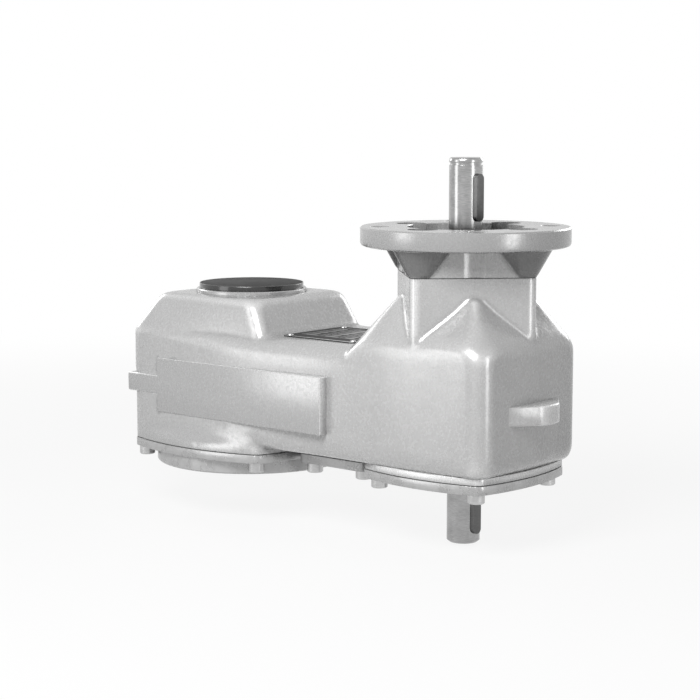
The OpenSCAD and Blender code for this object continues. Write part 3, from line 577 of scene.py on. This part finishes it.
output_plate = as_object("output_plate", plate(bowed(64.5, 150, 7), FLANGE_T, PLATE_TOP))
base_flange = [(0, 0), (FLANGE_R - 0.8, 0), (FLANGE_R, 0.8), (FLANGE_R, 9.2), (0, 9.2)]
combine(output_plate, turned(base_flange, steps=192), "UNION")
combine(output_plate, turned([(0, 10), (49.95, 10), (49.95, 20), (46, 20), (46, 24), (0, 24)]), "UNION")
output_hole = [(0, -5), (36.5, -5), (36.5, 0.0), (36, 0.5), (36, 8), (40, 8), (40, 30), (0, 30)]
combine(output_plate, turned(output_hole), "DIFFERENCE")
tapped = [(0, -5), (4.75, -5), (4.75, 0), (4.25, 0.5), (4.25, 13), (0, 13)]
combine(output_plate, around(lambda at: turned(tapped, at, 40), 4, BOLT_RING, OUTPUT_AXIS, 45), "DIFFERENCE")
combine(output_plate, around(lambda at: pin(3.4, -5, 30, at, 32), 4, OUTPUT_SCREW_RING, OUTPUT_AXIS, 45),
        "DIFFERENCE")
finish_piece(output_plate, "case", ["output_base_plate"])

input_plate = as_object("input_plate", plate(bowed(50, 140, 7, AXIS_GAP), FLANGE_T, PLATE_TOP))
combine(input_plate, pin(28, 10, 29, INPUT_AXIS, 96), "UNION")
combine(input_plate, pin(9, 10, 22.5, PIN_NEAR_INPUT), "UNION")
combine(input_plate, turned([(0, 0), (17.9, 0), (17.9, 9.1), (17.5, 9.5), (17.5, 16), (14, 16), (14, 17),
                             (21, 17), (21, 40), (0, 40)], INPUT_AXIS), "DIFFERENCE")
combine(input_plate, pin(5, 10.5, 30, PIN_NEAR_INPUT, 48), "DIFFERENCE")
combine(input_plate, around(lambda at: pin(3.4, -5, 30, at, 32), 4, INPUT_SCREW_RING, INPUT_AXIS, 45),
        "DIFFERENCE")
finish_piece(input_plate, "case", ["input_base_plate"])

COVER_SPOTS = [(77, -25), (77, 25), (114, -22), (114, 22)]
cover = as_object("idler_cover_plate", block((68.5, -31, FLANGE_T), (120.5, 31, PLATE_TOP), 3))
combine(cover, pin(11, 10, 22.5, PIN_NEAR_OUTPUT), "UNION")
combine(cover, pin(7, 10.5, 30, PIN_NEAR_OUTPUT), "DIFFERENCE")
combine(cover, gather(*[pin(3.4, 0, 30, at, 32) for at in COVER_SPOTS]), "DIFFERENCE")
finish_piece(cover, "case", ["idler_cover"])

# %% [markdown]
# ## Screws
# Every screw is a socket head cap screw. The head is turned with a chamfer, and the socket is a six-sided
# pit. One group of screws is one piece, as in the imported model.

# %% Cap screws
def cap_screw(at, head_r, head_t, shank_r, length, top=None):
    """A screw with its head down at z = 3, or head up from the height given as top."""
    chamfer = head_r * 0.12
    base = 3.0
    profile = [(0, base + head_t * 0.55), (head_r * 0.5, base + head_t * 0.55), (head_r * 0.5, base),
               (head_r - chamfer, base), (head_r, base + chamfer), (head_r, base + head_t),
               (shank_r, base + head_t), (shank_r, base + head_t + length), (0, base + head_t + length)]
    bm = turned(profile, steps=36)
    if top is not None:
        bmesh.ops.rotate(bm, cent=(0, 0, 0), matrix=Matrix.Rotation(math.pi, 3, "X"), verts=bm.verts)
        bmesh.ops.translate(bm, vec=(0, 0, top + base), verts=bm.verts)
    bmesh.ops.translate(bm, vec=(at[0], at[1], 0), verts=bm.verts)
    return bm


def small_screw(at):
    return cap_screw(at, 5.0, 6.0, 3.0, 18)


output_screws = as_object("output_screws", around(small_screw, 4, OUTPUT_SCREW_RING, OUTPUT_AXIS, 45))
finish_piece(output_screws, "case", ["output_plate_screws"])
input_screws = as_object("input_screws", around(small_screw, 4, INPUT_SCREW_RING, INPUT_AXIS, 45))
finish_piece(input_screws, "case", ["input_plate_screws"])
cover_heads = as_object("cover_heads", gather(*[small_screw(at) for at in COVER_SPOTS]))
finish_piece(cover_heads, "case", ["cover_screws"])
neck_heads = around(lambda at: cap_screw(at, 6.5, 8, 4, 25, 149), 4, NECK_SCREW_RING, INPUT_AXIS)
neck_screws = as_object("neck_screws", neck_heads)
finish_piece(neck_screws, "case", ["flange_screws"])

# %% [markdown]
# ## The input shaft and its keys
# The shaft is ground bright. Its profile carries the chamfered ends and the narrow groove for a retaining
# ring near the top. Each keyway is milled with a round-ended cutter, and the key stands in it.

# %% Shaft and keys
KEY_TURN = math.radians(-11)
shaft_profile = [(0, -30.8), (8.6, -30.8), (10, -29.6), (10, 15.8), (9.4, 15.8), (9.4, 16.9), (10, 16.9),
                 (10, 34), (12.6, 34), (12.6, 66), (10, 66), (10, 116.1), (9.4, 116.1), (9.4, 117.2),
                 (10, 117.2), (10, 195.6), (9.35, 195.7), (9.35, 197.0), (9.9, 197.1), (10, 197.4),
                 (10, 198.8), (9.7, 199.5), (9.1, 200.0), (8.7, 200.1), (0, 200.1)]
shaft = as_object("shaft", turned(shaft_profile, INPUT_AXIS, 128))


def key_blank(low, grow, depth0, depth1):
    """A round-ended bar that stands in the shaft's side, or the cutter for its slot when grown a little."""
    half = 3.0 + grow
    bm = bmesh.new()
    bmesh.ops.create_cube(bm, size=1)
    bmesh.ops.scale(bm, vec=(depth1 - depth0, 2 * half, 28 + 2 * grow), verts=bm.verts)
    ends = [e for e in bm.edges if abs((e.verts[0].co - e.verts[1].co).normalized().x) > 0.9]
    round_edges(bm, ends, half * 0.999, 10)
    if not grow:
        rims = [e for e in bm.edges if e.calc_face_angle(0) > 1 and min(v.co.x for v in e.verts) > 0]
        round_edges(bm, rims, 0.4, 2)
    bmesh.ops.translate(bm, vec=((depth0 + depth1) / 2, 0, low + 14), verts=bm.verts)
    bmesh.ops.rotate(bm, cent=(0, 0, 0), matrix=Matrix.Rotation(KEY_TURN, 3, "Z"), verts=bm.verts)
    bmesh.ops.translate(bm, vec=(AXIS_GAP, 0, 0), verts=bm.verts)
    return bm


for low in (162.7, -24.5):
    combine(shaft, key_blank(low, 0.12, 6.5, 14), "DIFFERENCE")


def tooth_flank(teeth, radii):
    """Half angles of a tooth at rising radii: an involute above its base circle."""
    pitch = teeth * 1.0
    base = pitch * math.cos(math.radians(20))
    swing = math.tan(math.radians(20)) - math.radians(20)
    half = math.pi / (2 * teeth) - 0.15 / pitch
    leans = []
    for r in radii:
        turn = math.acos(min(1.0, base / r))
        leans.append(half + swing - (math.tan(turn) - turn))
    return leans


teeth_points = []
pinion_radii = [12.6, 14.1, 15.0, 16.1, 17.0]
pinion_leans = tooth_flank(15, pinion_radii)
for tooth in range(15):
    middle = math.pi + 2 * math.pi * tooth / 15
    for r, lean in zip(pinion_radii, pinion_leans):
        teeth_points.append((AXIS_GAP + r * math.cos(middle - lean), r * math.sin(middle - lean)))
    for r, lean in reversed(list(zip(pinion_radii, pinion_leans))):
        teeth_points.append((AXIS_GAP + r * math.cos(middle + lean), r * math.sin(middle + lean)))
combine(shaft, column([at_height(teeth_points, 34.05), at_height(teeth_points, 65.95)]), "UNION")
finish_piece(shaft, "input_drive", ["input_shaft"])

upper_key = as_object("upper_key", key_blank(162.7, 0, 6.5, 12.5))
finish_piece(upper_key, "input_drive", ["top_key"])
lower_key = as_object("lower_key", key_blank(-24.5, 0, 6.5, 12.5))
finish_piece(lower_key, "input_drive", ["bottom_key"])

# %% [markdown]
# ## The stem cap
# A black plastic cap closes the top of the output sleeve. It is spun from one profile: a flat lid with a
# rounded rim, a faint raised edge, and a plug that reaches into the ring.

# %% Stem cap
cap_profile = [(0, 110.4), (25, 110.4), (25, 105.4), (29.95, 105.4), (29.95, 107.4), (28.2, 107.4),
               (28.2, 109.8), (29.95, 109.8), (29.95, 112.4), (33.3, 112.4), (33.3, 112.9), (34.0, 113.1),
               (34.0, 115.4), (33.9, 115.65), (33.65, 115.8), (0, 115.8)]
cap = as_object("stem_cap_lid", turned(cap_profile, steps=160))
finish_piece(cap, "case", ["stem_cap"])

# %% [markdown]
# ## The nameplate
# The real plate is left without words: a bright raised rim, and bright ruled lines on a black ground. The
# lines are raised a hair above the ground, so that they catch the light from every side.

# %% Nameplate, ruled lines and rivets
NAME_LOW, NAME_HIGH = (58.0, -35.0), (117.0, 24.0)
name_base = block((NAME_LOW[0], NAME_LOW[1], DECK_Z - 0.2), (NAME_HIGH[0], NAME_HIGH[1], DECK_Z + 0.65), 4)
name_plate = as_object("nameplate_ground", name_base)
rim_bm = block((NAME_LOW[0], NAME_LOW[1], DECK_Z + 0.3), (NAME_HIGH[0], NAME_HIGH[1], DECK_Z + 0.8), 4)
rim = as_object("nameplate_rim", rim_bm)
rim_inside = block((NAME_LOW[0] + 1, NAME_LOW[1] + 1, DECK_Z - 1),
                   (NAME_HIGH[0] - 1, NAME_HIGH[1] - 1, DECK_Z + 3), 3)
combine(rim, rim_inside, "DIFFERENCE")


def bar(x0, x1, y0, y1):
    return block((x0, y0, DECK_Z + 0.5), (x1, y1, DECK_Z + 0.72))


bars = [bar(64, 111, y, y + 0.5) for y in (16.5, 9.5, 3.0, -3.5, -10.0, -16.5, -23.0)]
bars += [bar(x, x + 0.5, -23.0, 16.5) for x in (64, 79, 95, 110.5)]
for row in range(6):
    y = -21.4 + row * 6.5
    for x, length in ((66, 9), (82, 10), (98, 8)):
        bars.append(bar(x, x + length - (row * 3 % 4), y, y + 1.6))
ruling = as_object("nameplate_ruling", gather(*bars))
finish_piece(name_plate, "case", ["nameplate"])
finish_piece(rim, "case", [])
finish_piece(ruling, "case", [])


def rivet(at):
    profile = [(0, DECK_Z), (1.0, DECK_Z), (1.0, DECK_Z + 0.6), (1.9, DECK_Z + 0.7), (1.7, DECK_Z + 1.1),
               (1.1, DECK_Z + 1.35), (0, DECK_Z + 1.4)]
    return turned(profile, at, 24)


corners = [(NAME_LOW[0] + 4, NAME_LOW[1] + 4), (NAME_HIGH[0] - 4, NAME_LOW[1] + 4),
           (NAME_LOW[0] + 4, NAME_HIGH[1] - 4), (NAME_HIGH[0] - 4, NAME_HIGH[1] - 4)]
rivets = as_object("plate_rivets", gather(*[rivet(at) for at in corners]))
finish_piece(rivets, "case", ["nameplate_rivets"])

# %% [markdown]
# ## Writing shader maths as plain sums
# A material's pattern is arithmetic on the surface's own coordinates. The small class below wraps a socket,
# so that an expression such as (a + b) * 0.5 adds the Math nodes by itself.

# %% Shader tools
class Value:
    """A number that changes over the surface."""

    def __init__(self, paint, socket):
        self.paint = paint
        self.socket = socket

    def _sum(self, operation, other, flip=False):
        node = self.paint.tree.nodes.new("ShaderNodeMath")
        node.operation = operation
        pair = (other, self) if flip else (self, other)
        for socket, item in zip(node.inputs, pair):
            self.paint.join(item, socket)
        return Value(self.paint, node.outputs[0])

    def __add__(self, other):
        return self._sum("ADD", other)

    def __radd__(self, other):
        return self._sum("ADD", other, True)

    def __sub__(self, other):
        return self._sum("SUBTRACT", other)

    def __rsub__(self, other):
        return self._sum("SUBTRACT", other, True)

    def __mul__(self, other):
        return self._sum("MULTIPLY", other)

    def __rmul__(self, other):
        return self._sum("MULTIPLY", other, True)

    def __truediv__(self, other):
        return self._sum("DIVIDE", other)

    def __pow__(self, other):
        return self._sum("POWER", other)

    def over(self, other):
        return self._sum("GREATER_THAN", other)

    def under(self, other):
        return self._sum("LESS_THAN", other)


class Paint:
    """A material and the nodes that make its finish."""

    def __init__(self, name, **fixed):
        self.material = bpy.data.materials.new(name)
        self.material.use_nodes = True
        self.tree = self.material.node_tree
        self.shader = self.tree.nodes["Principled BSDF"]
        for key, value in fixed.items():
            self.shader.inputs[key.replace("_", " ")].default_value = value
        self.place = self.node("ShaderNodeTexCoord").outputs["Object"]

    def join(self, item, socket):
        if isinstance(item, Value):
            self.tree.links.new(item.socket, socket)
        elif isinstance(item, bpy.types.NodeSocket):
            self.tree.links.new(item, socket)
        else:
            socket.default_value = item

    def node(self, kind, settings=None, **sockets):
        made = self.tree.nodes.new(kind)
        for key, value in (settings or {}).items():
            setattr(made, key, value)
        for key, value in sockets.items():
            self.join(value, made.inputs[key.replace("_", " ")])
        return made

    def axes(self):
        split = self.node("ShaderNodeSeparateXYZ", Vector=self.place)
        return [Value(self, socket) for socket in split.outputs]

    def noise(self, size_mm, detail=2.0, roughness=0.5, stretch=None):
        """Noise with a typical lump size in millimetres, from 0 to 1."""
        place = self.place
        if stretch:
            place = self.node("ShaderNodeMapping", Vector=place, Scale=stretch).outputs[0]
        made = self.node("ShaderNodeTexNoise", Vector=place, Scale=1.0 / (size_mm * MM), Detail=detail,
                         Roughness=roughness)
        return Value(self, made.outputs[0])

    def fit(self, value, low, high, to_low=0.0, to_high=1.0):
        made = self.node("ShaderNodeMapRange", {"interpolation_type": "SMOOTHSTEP"})
        self.join(value, made.inputs["Value"])
        for key, number in (("From Min", low), ("From Max", high), ("To Min", to_low), ("To Max", to_high)):
            made.inputs[key].default_value = number
        return Value(self, made.outputs[0])

    def blend(self, share, first, second):
        """A colour between two colours."""
        made = self.node("ShaderNodeMix", {"data_type": "RGBA"})
        self.join(share, made.inputs[0])
        self.join(first, made.inputs[6])
        self.join(second, made.inputs[7])
        return made.outputs[2]

    def bump(self, height, depth_mm, strength=1.0, normal=None):
        made = self.node("ShaderNodeBump", Strength=strength, Distance=depth_mm * MM)
        self.join(height, made.inputs["Height"])
        if normal is not None:
            self.join(normal, made.inputs["Normal"])
        return made.outputs[0]

    def set(self, key, item):
        self.join(item, self.shader.inputs[key])

    def dress(self, *things):
        for thing in things:
            thing.data.materials.clear()
            thing.data.materials.append(self.material)


def grey(value):
    return (value, value, value, 1.0)


# %% [markdown]
# ## The cast finish
# The casting is painted silver grey over a sandy skin. Three things make it read as cast metal: a fine
# grain, a slow waviness, and tiny bright and dark specks where a grain of sand stood. The measured bend
# paints a highlight on the outer edges, where the paint also wears thin, and paints shade into the folds.
# The long pads and the faces of the lugs are milled, so a mask built from the coordinates makes them
# smoother and flatter. A second mask paints shade into the screw notches under the input flange, which are
# dark in the photograph.

# %% Cast material
def cast_paint(name, milled_mask, milled_grey=0.39, notch_shade_mask=None):
    paint = Paint(name)
    x, y, z = paint.axes()
    grain = paint.noise(0.7, 3.0, 0.6)
    sand = paint.noise(2.2, 2.0, 0.5)
    wave = paint.noise(14.0, 2.0, 0.5)
    specks = paint.fit(paint.noise(1.1, 1.0, 0.4), 0.70, 0.76)
    pits = paint.fit(paint.noise(1.4, 1.0, 0.4), 0.24, 0.30, 1.0, 0.0)
    milled = milled_mask(paint, x, y, z)
    rough_skin = 1.0 - milled * 0.85
    shade = grain * 0.05 + sand * 0.04 + wave * 0.06 - 0.075
    tone = paint.fit(shade, -0.075, 0.075)
    colour = paint.blend(tone, grey(0.37), grey(0.44))
    colour = paint.blend(specks * rough_skin * 0.12, colour, grey(0.6))
    colour = paint.blend(pits * rough_skin * 0.3, colour, grey(0.3))
    bend = Value(paint, paint.node("ShaderNodeAttribute", {"attribute_name": "bend"}).outputs["Fac"])
    # Painted highlight on the outer edges, with some paint worn thin there too.
    colour = paint.blend(paint.fit(bend, 0.54, 0.85, 0.0, 0.8), colour, grey(0.66))
    # Painted shade in the folds.
    colour = paint.blend(paint.fit(bend, 0.2, 0.47, 0.45, 0.0), colour, grey(0.22))
    colour = paint.blend(milled, colour, grey(milled_grey))
    # Painted shade in the screw notches under the flange disc.
    if notch_shade_mask:
        colour = paint.blend(notch_shade_mask(paint, x, y, z), colour, grey(0.16))
    paint.set("Base Color", colour)
    paint.set("Metallic", 0.3 + milled * 0.18)
    paint.set("Roughness", paint.fit(sand, 0.3, 0.7, 0.22, 0.30))
    height = (grain * 0.35 + sand * 0.65) * rough_skin
    fine = paint.bump(height, 0.07, 0.3)
    paint.set("Normal", paint.bump(wave, 0.5, 0.25, fine))
    return paint


def housing_mask(paint, x, y, z):
    side = (y * y).over((56.85 * MM) ** 2)
    ring = z.over(110.4 * MM) * x.under(60 * MM)
    return paint.fit(side + ring, 0.2, 0.8)


cast_paint("sand_cast", housing_mask).dress(housing)


# %% [markdown]
# ## Turned and milled metal
# A lathe leaves fine rings about the axis it turned on, so the ring pattern is a sine of the distance from
# that axis. The plates and the cover get these rings; the flange's disc keeps the cast finish, smoothed by a
# milled mask.

# %% Turned metal
def turned_rings(paint, x, y, axis_x, pitch_mm):
    reach = ((x - axis_x * MM) ** 2 + y ** 2) ** 0.5
    wobble = paint.noise(6.0, 1.0, 0.5) * (pitch_mm * MM * 0.6)
    node = paint.node("ShaderNodeMath", {"operation": "SINE"})
    paint.join((reach + wobble) * (2 * math.pi / (pitch_mm * MM)), node.inputs[0])
    return Value(paint, node.outputs[0])


def machined_paint(name, axis_x, low=0.34, high=0.43, rough=(0.24, 0.34)):
    paint = Paint(name, Metallic=0.6)
    x, y, z = paint.axes()
    rings = turned_rings(paint, x, y, axis_x, 0.55)
    smear = paint.noise(9.0, 3.0, 0.6)
    dust = paint.noise(0.8, 2.0, 0.5)
    colour = paint.blend(paint.fit(smear + dust * 0.4, 0.35, 1.0), grey(low), grey(high))
    paint.set("Base Color", colour)
    paint.set("Roughness", paint.fit(smear, 0.3, 0.7, rough[0], rough[1]))
    paint.set("Normal", paint.bump(rings * 0.5 + dust, 0.03, 0.35))
    return paint


def flange_mask(paint, x, y, z):
    return z.over((DISC_Z - 0.2) * MM)


def notch_shade(paint, x, y, z):
    """1 inside the four conical notches, found from the distance to the neck's corners."""
    across, along = ((x - AXIS_GAP * MM) ** 2) ** 0.5, (y * y) ** 0.5
    corner = NECK_CORNER * MM
    widening = (NOTCH_HIGH - NOTCH_LOW) / (DISC_Z - NOTCH_Z)
    edge = (z - NOTCH_Z * MM) * widening + (NOTCH_LOW - 0.3) * MM
    side_notch = paint.fit(edge - ((across - corner) ** 2 + along ** 2) ** 0.5, -0.9 * MM, 0.1 * MM)
    front_notch = paint.fit(edge - (across ** 2 + (along - corner) ** 2) ** 0.5, -0.9 * MM, 0.1 * MM)
    return (side_notch + front_notch) * z.under((DISC_Z - 0.5) * MM)


cast_paint("flange_cast", flange_mask, 0.34, notch_shade).dress(stem)
machined_paint("output_plate_metal", 0.0).dress(output_plate)
machined_paint("input_plate_metal", AXIS_GAP).dress(input_plate)
machined_paint("cover_metal", 95.0).dress(cover)

# %% [markdown]
# ## Steel, rubber, plastic and bronze
# The shaft is ground: its lines run round it, so the noise is squeezed along Z. Screws are plated and have
# only a little variation. The keys are dark, and the cap is a glossy black plastic with a soft skin.

# %% Steel, keys and screws
def ground_steel(name, low=0.28, high=0.42, rough=(0.16, 0.26)):
    paint = Paint(name, Metallic=1.0)
    lines = paint.noise(3.0, 2.0, 0.6, (1.0, 1.0, 14.0))
    cloud = paint.noise(10.0, 2.0, 0.5)
    tone = paint.fit(lines * 0.6 + cloud * 0.4, 0.3, 0.7)
    paint.set("Base Color", paint.blend(tone, grey(low), grey(high)))
    paint.set("Roughness", paint.fit(lines, 0.3, 0.7, rough[0], rough[1]))
    paint.set("Normal", paint.bump(lines, 0.02, 0.4))
    return paint


shaft_steel = ground_steel("shaft_steel")
shaft_steel.dress(shaft)
screw_steel = ground_steel("screw_steel", 0.40, 0.56, (0.28, 0.38))
screw_steel.dress(output_screws, input_screws, cover_heads, neck_screws, rim, ruling, rivets)
dark_steel = ground_steel("dark_steel", 0.10, 0.15, (0.3, 0.42))
dark_steel.dress(upper_key, lower_key)


def plain_skin(name, low, high, rough, metallic=0.0, coat=0.0, lump=1.5, depth=0.05):
    paint = Paint(name, Metallic=metallic, Coat_Weight=coat, Coat_Roughness=0.08)
    skin = paint.noise(lump, 3.0, 0.55)
    cloud = paint.noise(12.0, 2.0, 0.5)
    paint.set("Base Color", paint.blend(cloud, low, high))
    paint.set("Roughness", paint.fit(skin, 0.3, 0.7, rough[0], rough[1]))
    paint.set("Normal", paint.bump(skin, depth, 0.3))
    return paint


cap_plastic = plain_skin("cap_plastic", grey(0.012), grey(0.022), (0.16, 0.24),
                         coat=0.4, lump=2.0, depth=0.02)
cap_top = Paint("cap_top", Roughness=0.55, Specular_IOR_Level=0.02)
top_cloud = cap_top.noise(18.0, 2.0, 0.5)
top_grain = cap_top.noise(0.5, 2.0, 0.5)
cap_top.set("Base Color", cap_top.blend(cap_top.fit(top_cloud, 0.3, 0.7), grey(0.06), grey(0.08)))
cap_top.set("Normal", cap_top.bump(top_grain, 0.03, 0.3))
cap_plastic.dress(cap)
cap.data.materials.append(cap_top.material)
for face in cap.data.polygons:
    face.material_index = 1 if face.normal.z > 0.9 and face.center.z > 115 * MM else 0
rubber = plain_skin("rubber", grey(0.018), grey(0.035), (0.55, 0.7))
bronze = plain_skin("bronze", (0.42, 0.26, 0.12, 1), (0.5, 0.33, 0.17, 1), (0.3, 0.42), metallic=1.0)
plate_black = plain_skin("plate_black", grey(0.03), grey(0.05), (0.4, 0.5), lump=0.8)
plate_black.shader.inputs["Specular IOR Level"].default_value = 0.03
plate_black.dress(name_plate)

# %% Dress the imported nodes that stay
inner_steel = ground_steel("inner_steel")
by_slot = {"steel": inner_steel, "dark_steel": dark_steel, "gasket": rubber, "seal": rubber,
           "bronze": bronze, "machined": machined_paint("inner_machined", 0.0), "cap": cap_plastic,
           "plate": plate_black, "cast": None}
for part in frame["record"]["subparts"]:
    thing = frame["nodes"][part["node"]]
    paint = by_slot[part["material_slot"]]
    if paint:
        paint.dress(thing)

# %% [markdown]
# ## Floor, light and camera
# The photograph is a catalogue shot on white ground. A strong soft light stands to the upper left of the
# camera, and two tall weak ones stand low at the left and the right, where the upright walls and edges
# mirror them. Two more behind keep the far sides from going dark. The white surroundings are seen by the
# camera and in reflections, but they hardly light the part. The camera's place was fitted to the photograph.

# %% Floor
floor = as_object("floor", block((-3000, -3000, -42), (3000, 3000, -32)))
floor.data.transform(Matrix.Scale(MM, 4))
floor_paint = Paint("floor_white", Roughness=0.9)
soft = floor_paint.noise(300.0, 1.0, 0.5)
floor_paint.set("Base Color", floor_paint.blend(soft, grey(0.60), grey(0.64)))
floor_paint.dress(floor)
rays = floor_paint.node("ShaderNodeLightPath")
glow = floor_paint.node("ShaderNodeEmission", Color=grey(1.0), Strength=1.0)
seen = Value(floor_paint, rays.outputs["Is Camera Ray"])
mirror = Value(floor_paint, rays.outputs["Is Glossy Ray"])
through = Value(floor_paint, rays.outputs["Is Transmission Ray"])
x, y, z = floor_paint.axes()
far = floor_paint.fit((x ** 2 + y ** 2) ** 0.5, 0.25, 1.0, 0.88, 1.0)
share = floor_paint.fit(seen + mirror + through, 0.0, 1.0) * far
mixer = floor_paint.node("ShaderNodeMixShader")
floor_paint.join(share, mixer.inputs[0])
floor_paint.tree.links.new(floor_paint.shader.outputs[0], mixer.inputs[1])
floor_paint.tree.links.new(glow.outputs[0], mixer.inputs[2])
floor_paint.tree.links.new(mixer.outputs[0], floor_paint.tree.nodes["Material Output"].inputs["Surface"])

# %% World and lights
LIT_LEVEL = 0.02
WHITE_LEVEL = 1.0
world = bpy.data.worlds.new("studio")
bpy.context.scene.world = world
world.use_nodes = True
nodes, links = world.node_tree.nodes, world.node_tree.links
nodes.clear()


def background(strength):
    node = nodes.new("ShaderNodeBackground")
    node.inputs["Color"].default_value = grey(1.0)
    node.inputs["Strength"].default_value = strength
    return node


def either(first, second):
    """1 for a ray of either kind."""
    node = nodes.new("ShaderNodeMath")
    node.operation = "MAXIMUM"
    links.new(first, node.inputs[0])
    links.new(second, node.inputs[1])
    return node.outputs[0]


path = nodes.new("ShaderNodeLightPath")
shown = either(path.outputs["Is Camera Ray"], path.outputs["Is Glossy Ray"])
chooser = nodes.new("ShaderNodeMixShader")
links.new(either(shown, path.outputs["Is Transmission Ray"]), chooser.inputs[0])
links.new(background(LIT_LEVEL).outputs[0], chooser.inputs[1])
links.new(background(WHITE_LEVEL).outputs[0], chooser.inputs[2])
links.new(chooser.outputs[0], nodes.new("ShaderNodeOutputWorld").inputs["Surface"])


def soft_light(name, place, target, size, power):
    data = bpy.data.lights.new(name, "AREA")
    data.shape = "RECTANGLE"
    data.size, data.size_y = size
    data.energy = power
    lamp = bpy.data.objects.new(name, data)
    bpy.context.scene.collection.objects.link(lamp)
    lamp.location = place
    lamp.rotation_euler = (Vector(target) - Vector(place)).to_track_quat("-Z", "Y").to_euler()


MIDDLE = (0.09, 0.0, 0.07)


def lamp_round(name, turn, rise, spread, power, away=0.75):
    """A soft light at an angle round the object, its size given by the angles that it spans."""
    turn, rise = math.radians(turn), math.radians(rise)
    flat = away * math.cos(rise)
    place = (MIDDLE[0] + flat * math.cos(turn), flat * math.sin(turn), MIDDLE[2] + away * math.sin(rise))
    size = [2 * away * math.tan(math.radians(angle / 2)) for angle in spread]
    soft_light(name, place, MIDDLE, size, power)


lamp_round("key", -72, 37, (26, 22), 6.4)
lamp_round("left", -116, 6, (20, 44), 1.15)
lamp_round("right", -4, 6, (12, 40), 0.6, 0.6)
lamp_round("rear", 90, 22, (24, 24), 1.45)
lamp_round("rear_left", 176, 22, (18, 20), 1.1)

# %% Camera
CAMERA_PLACE = (0.8378, -0.89095, 0.2307)
CAMERA_DIP = 7.46
CAMERA_TURN = 40.22
lens = bpy.data.cameras.new("camera")
lens.sensor_width = 36.0
lens.lens = 96.3
camera = bpy.data.objects.new("camera", lens)
bpy.context.scene.collection.objects.link(camera)
camera.location = CAMERA_PLACE
camera.rotation_euler = (math.radians(90 - CAMERA_DIP), 0.0, math.radians(CAMERA_TURN))
bpy.context.scene.camera = camera
bpy.context.scene.view_settings.view_transform = "Standard"
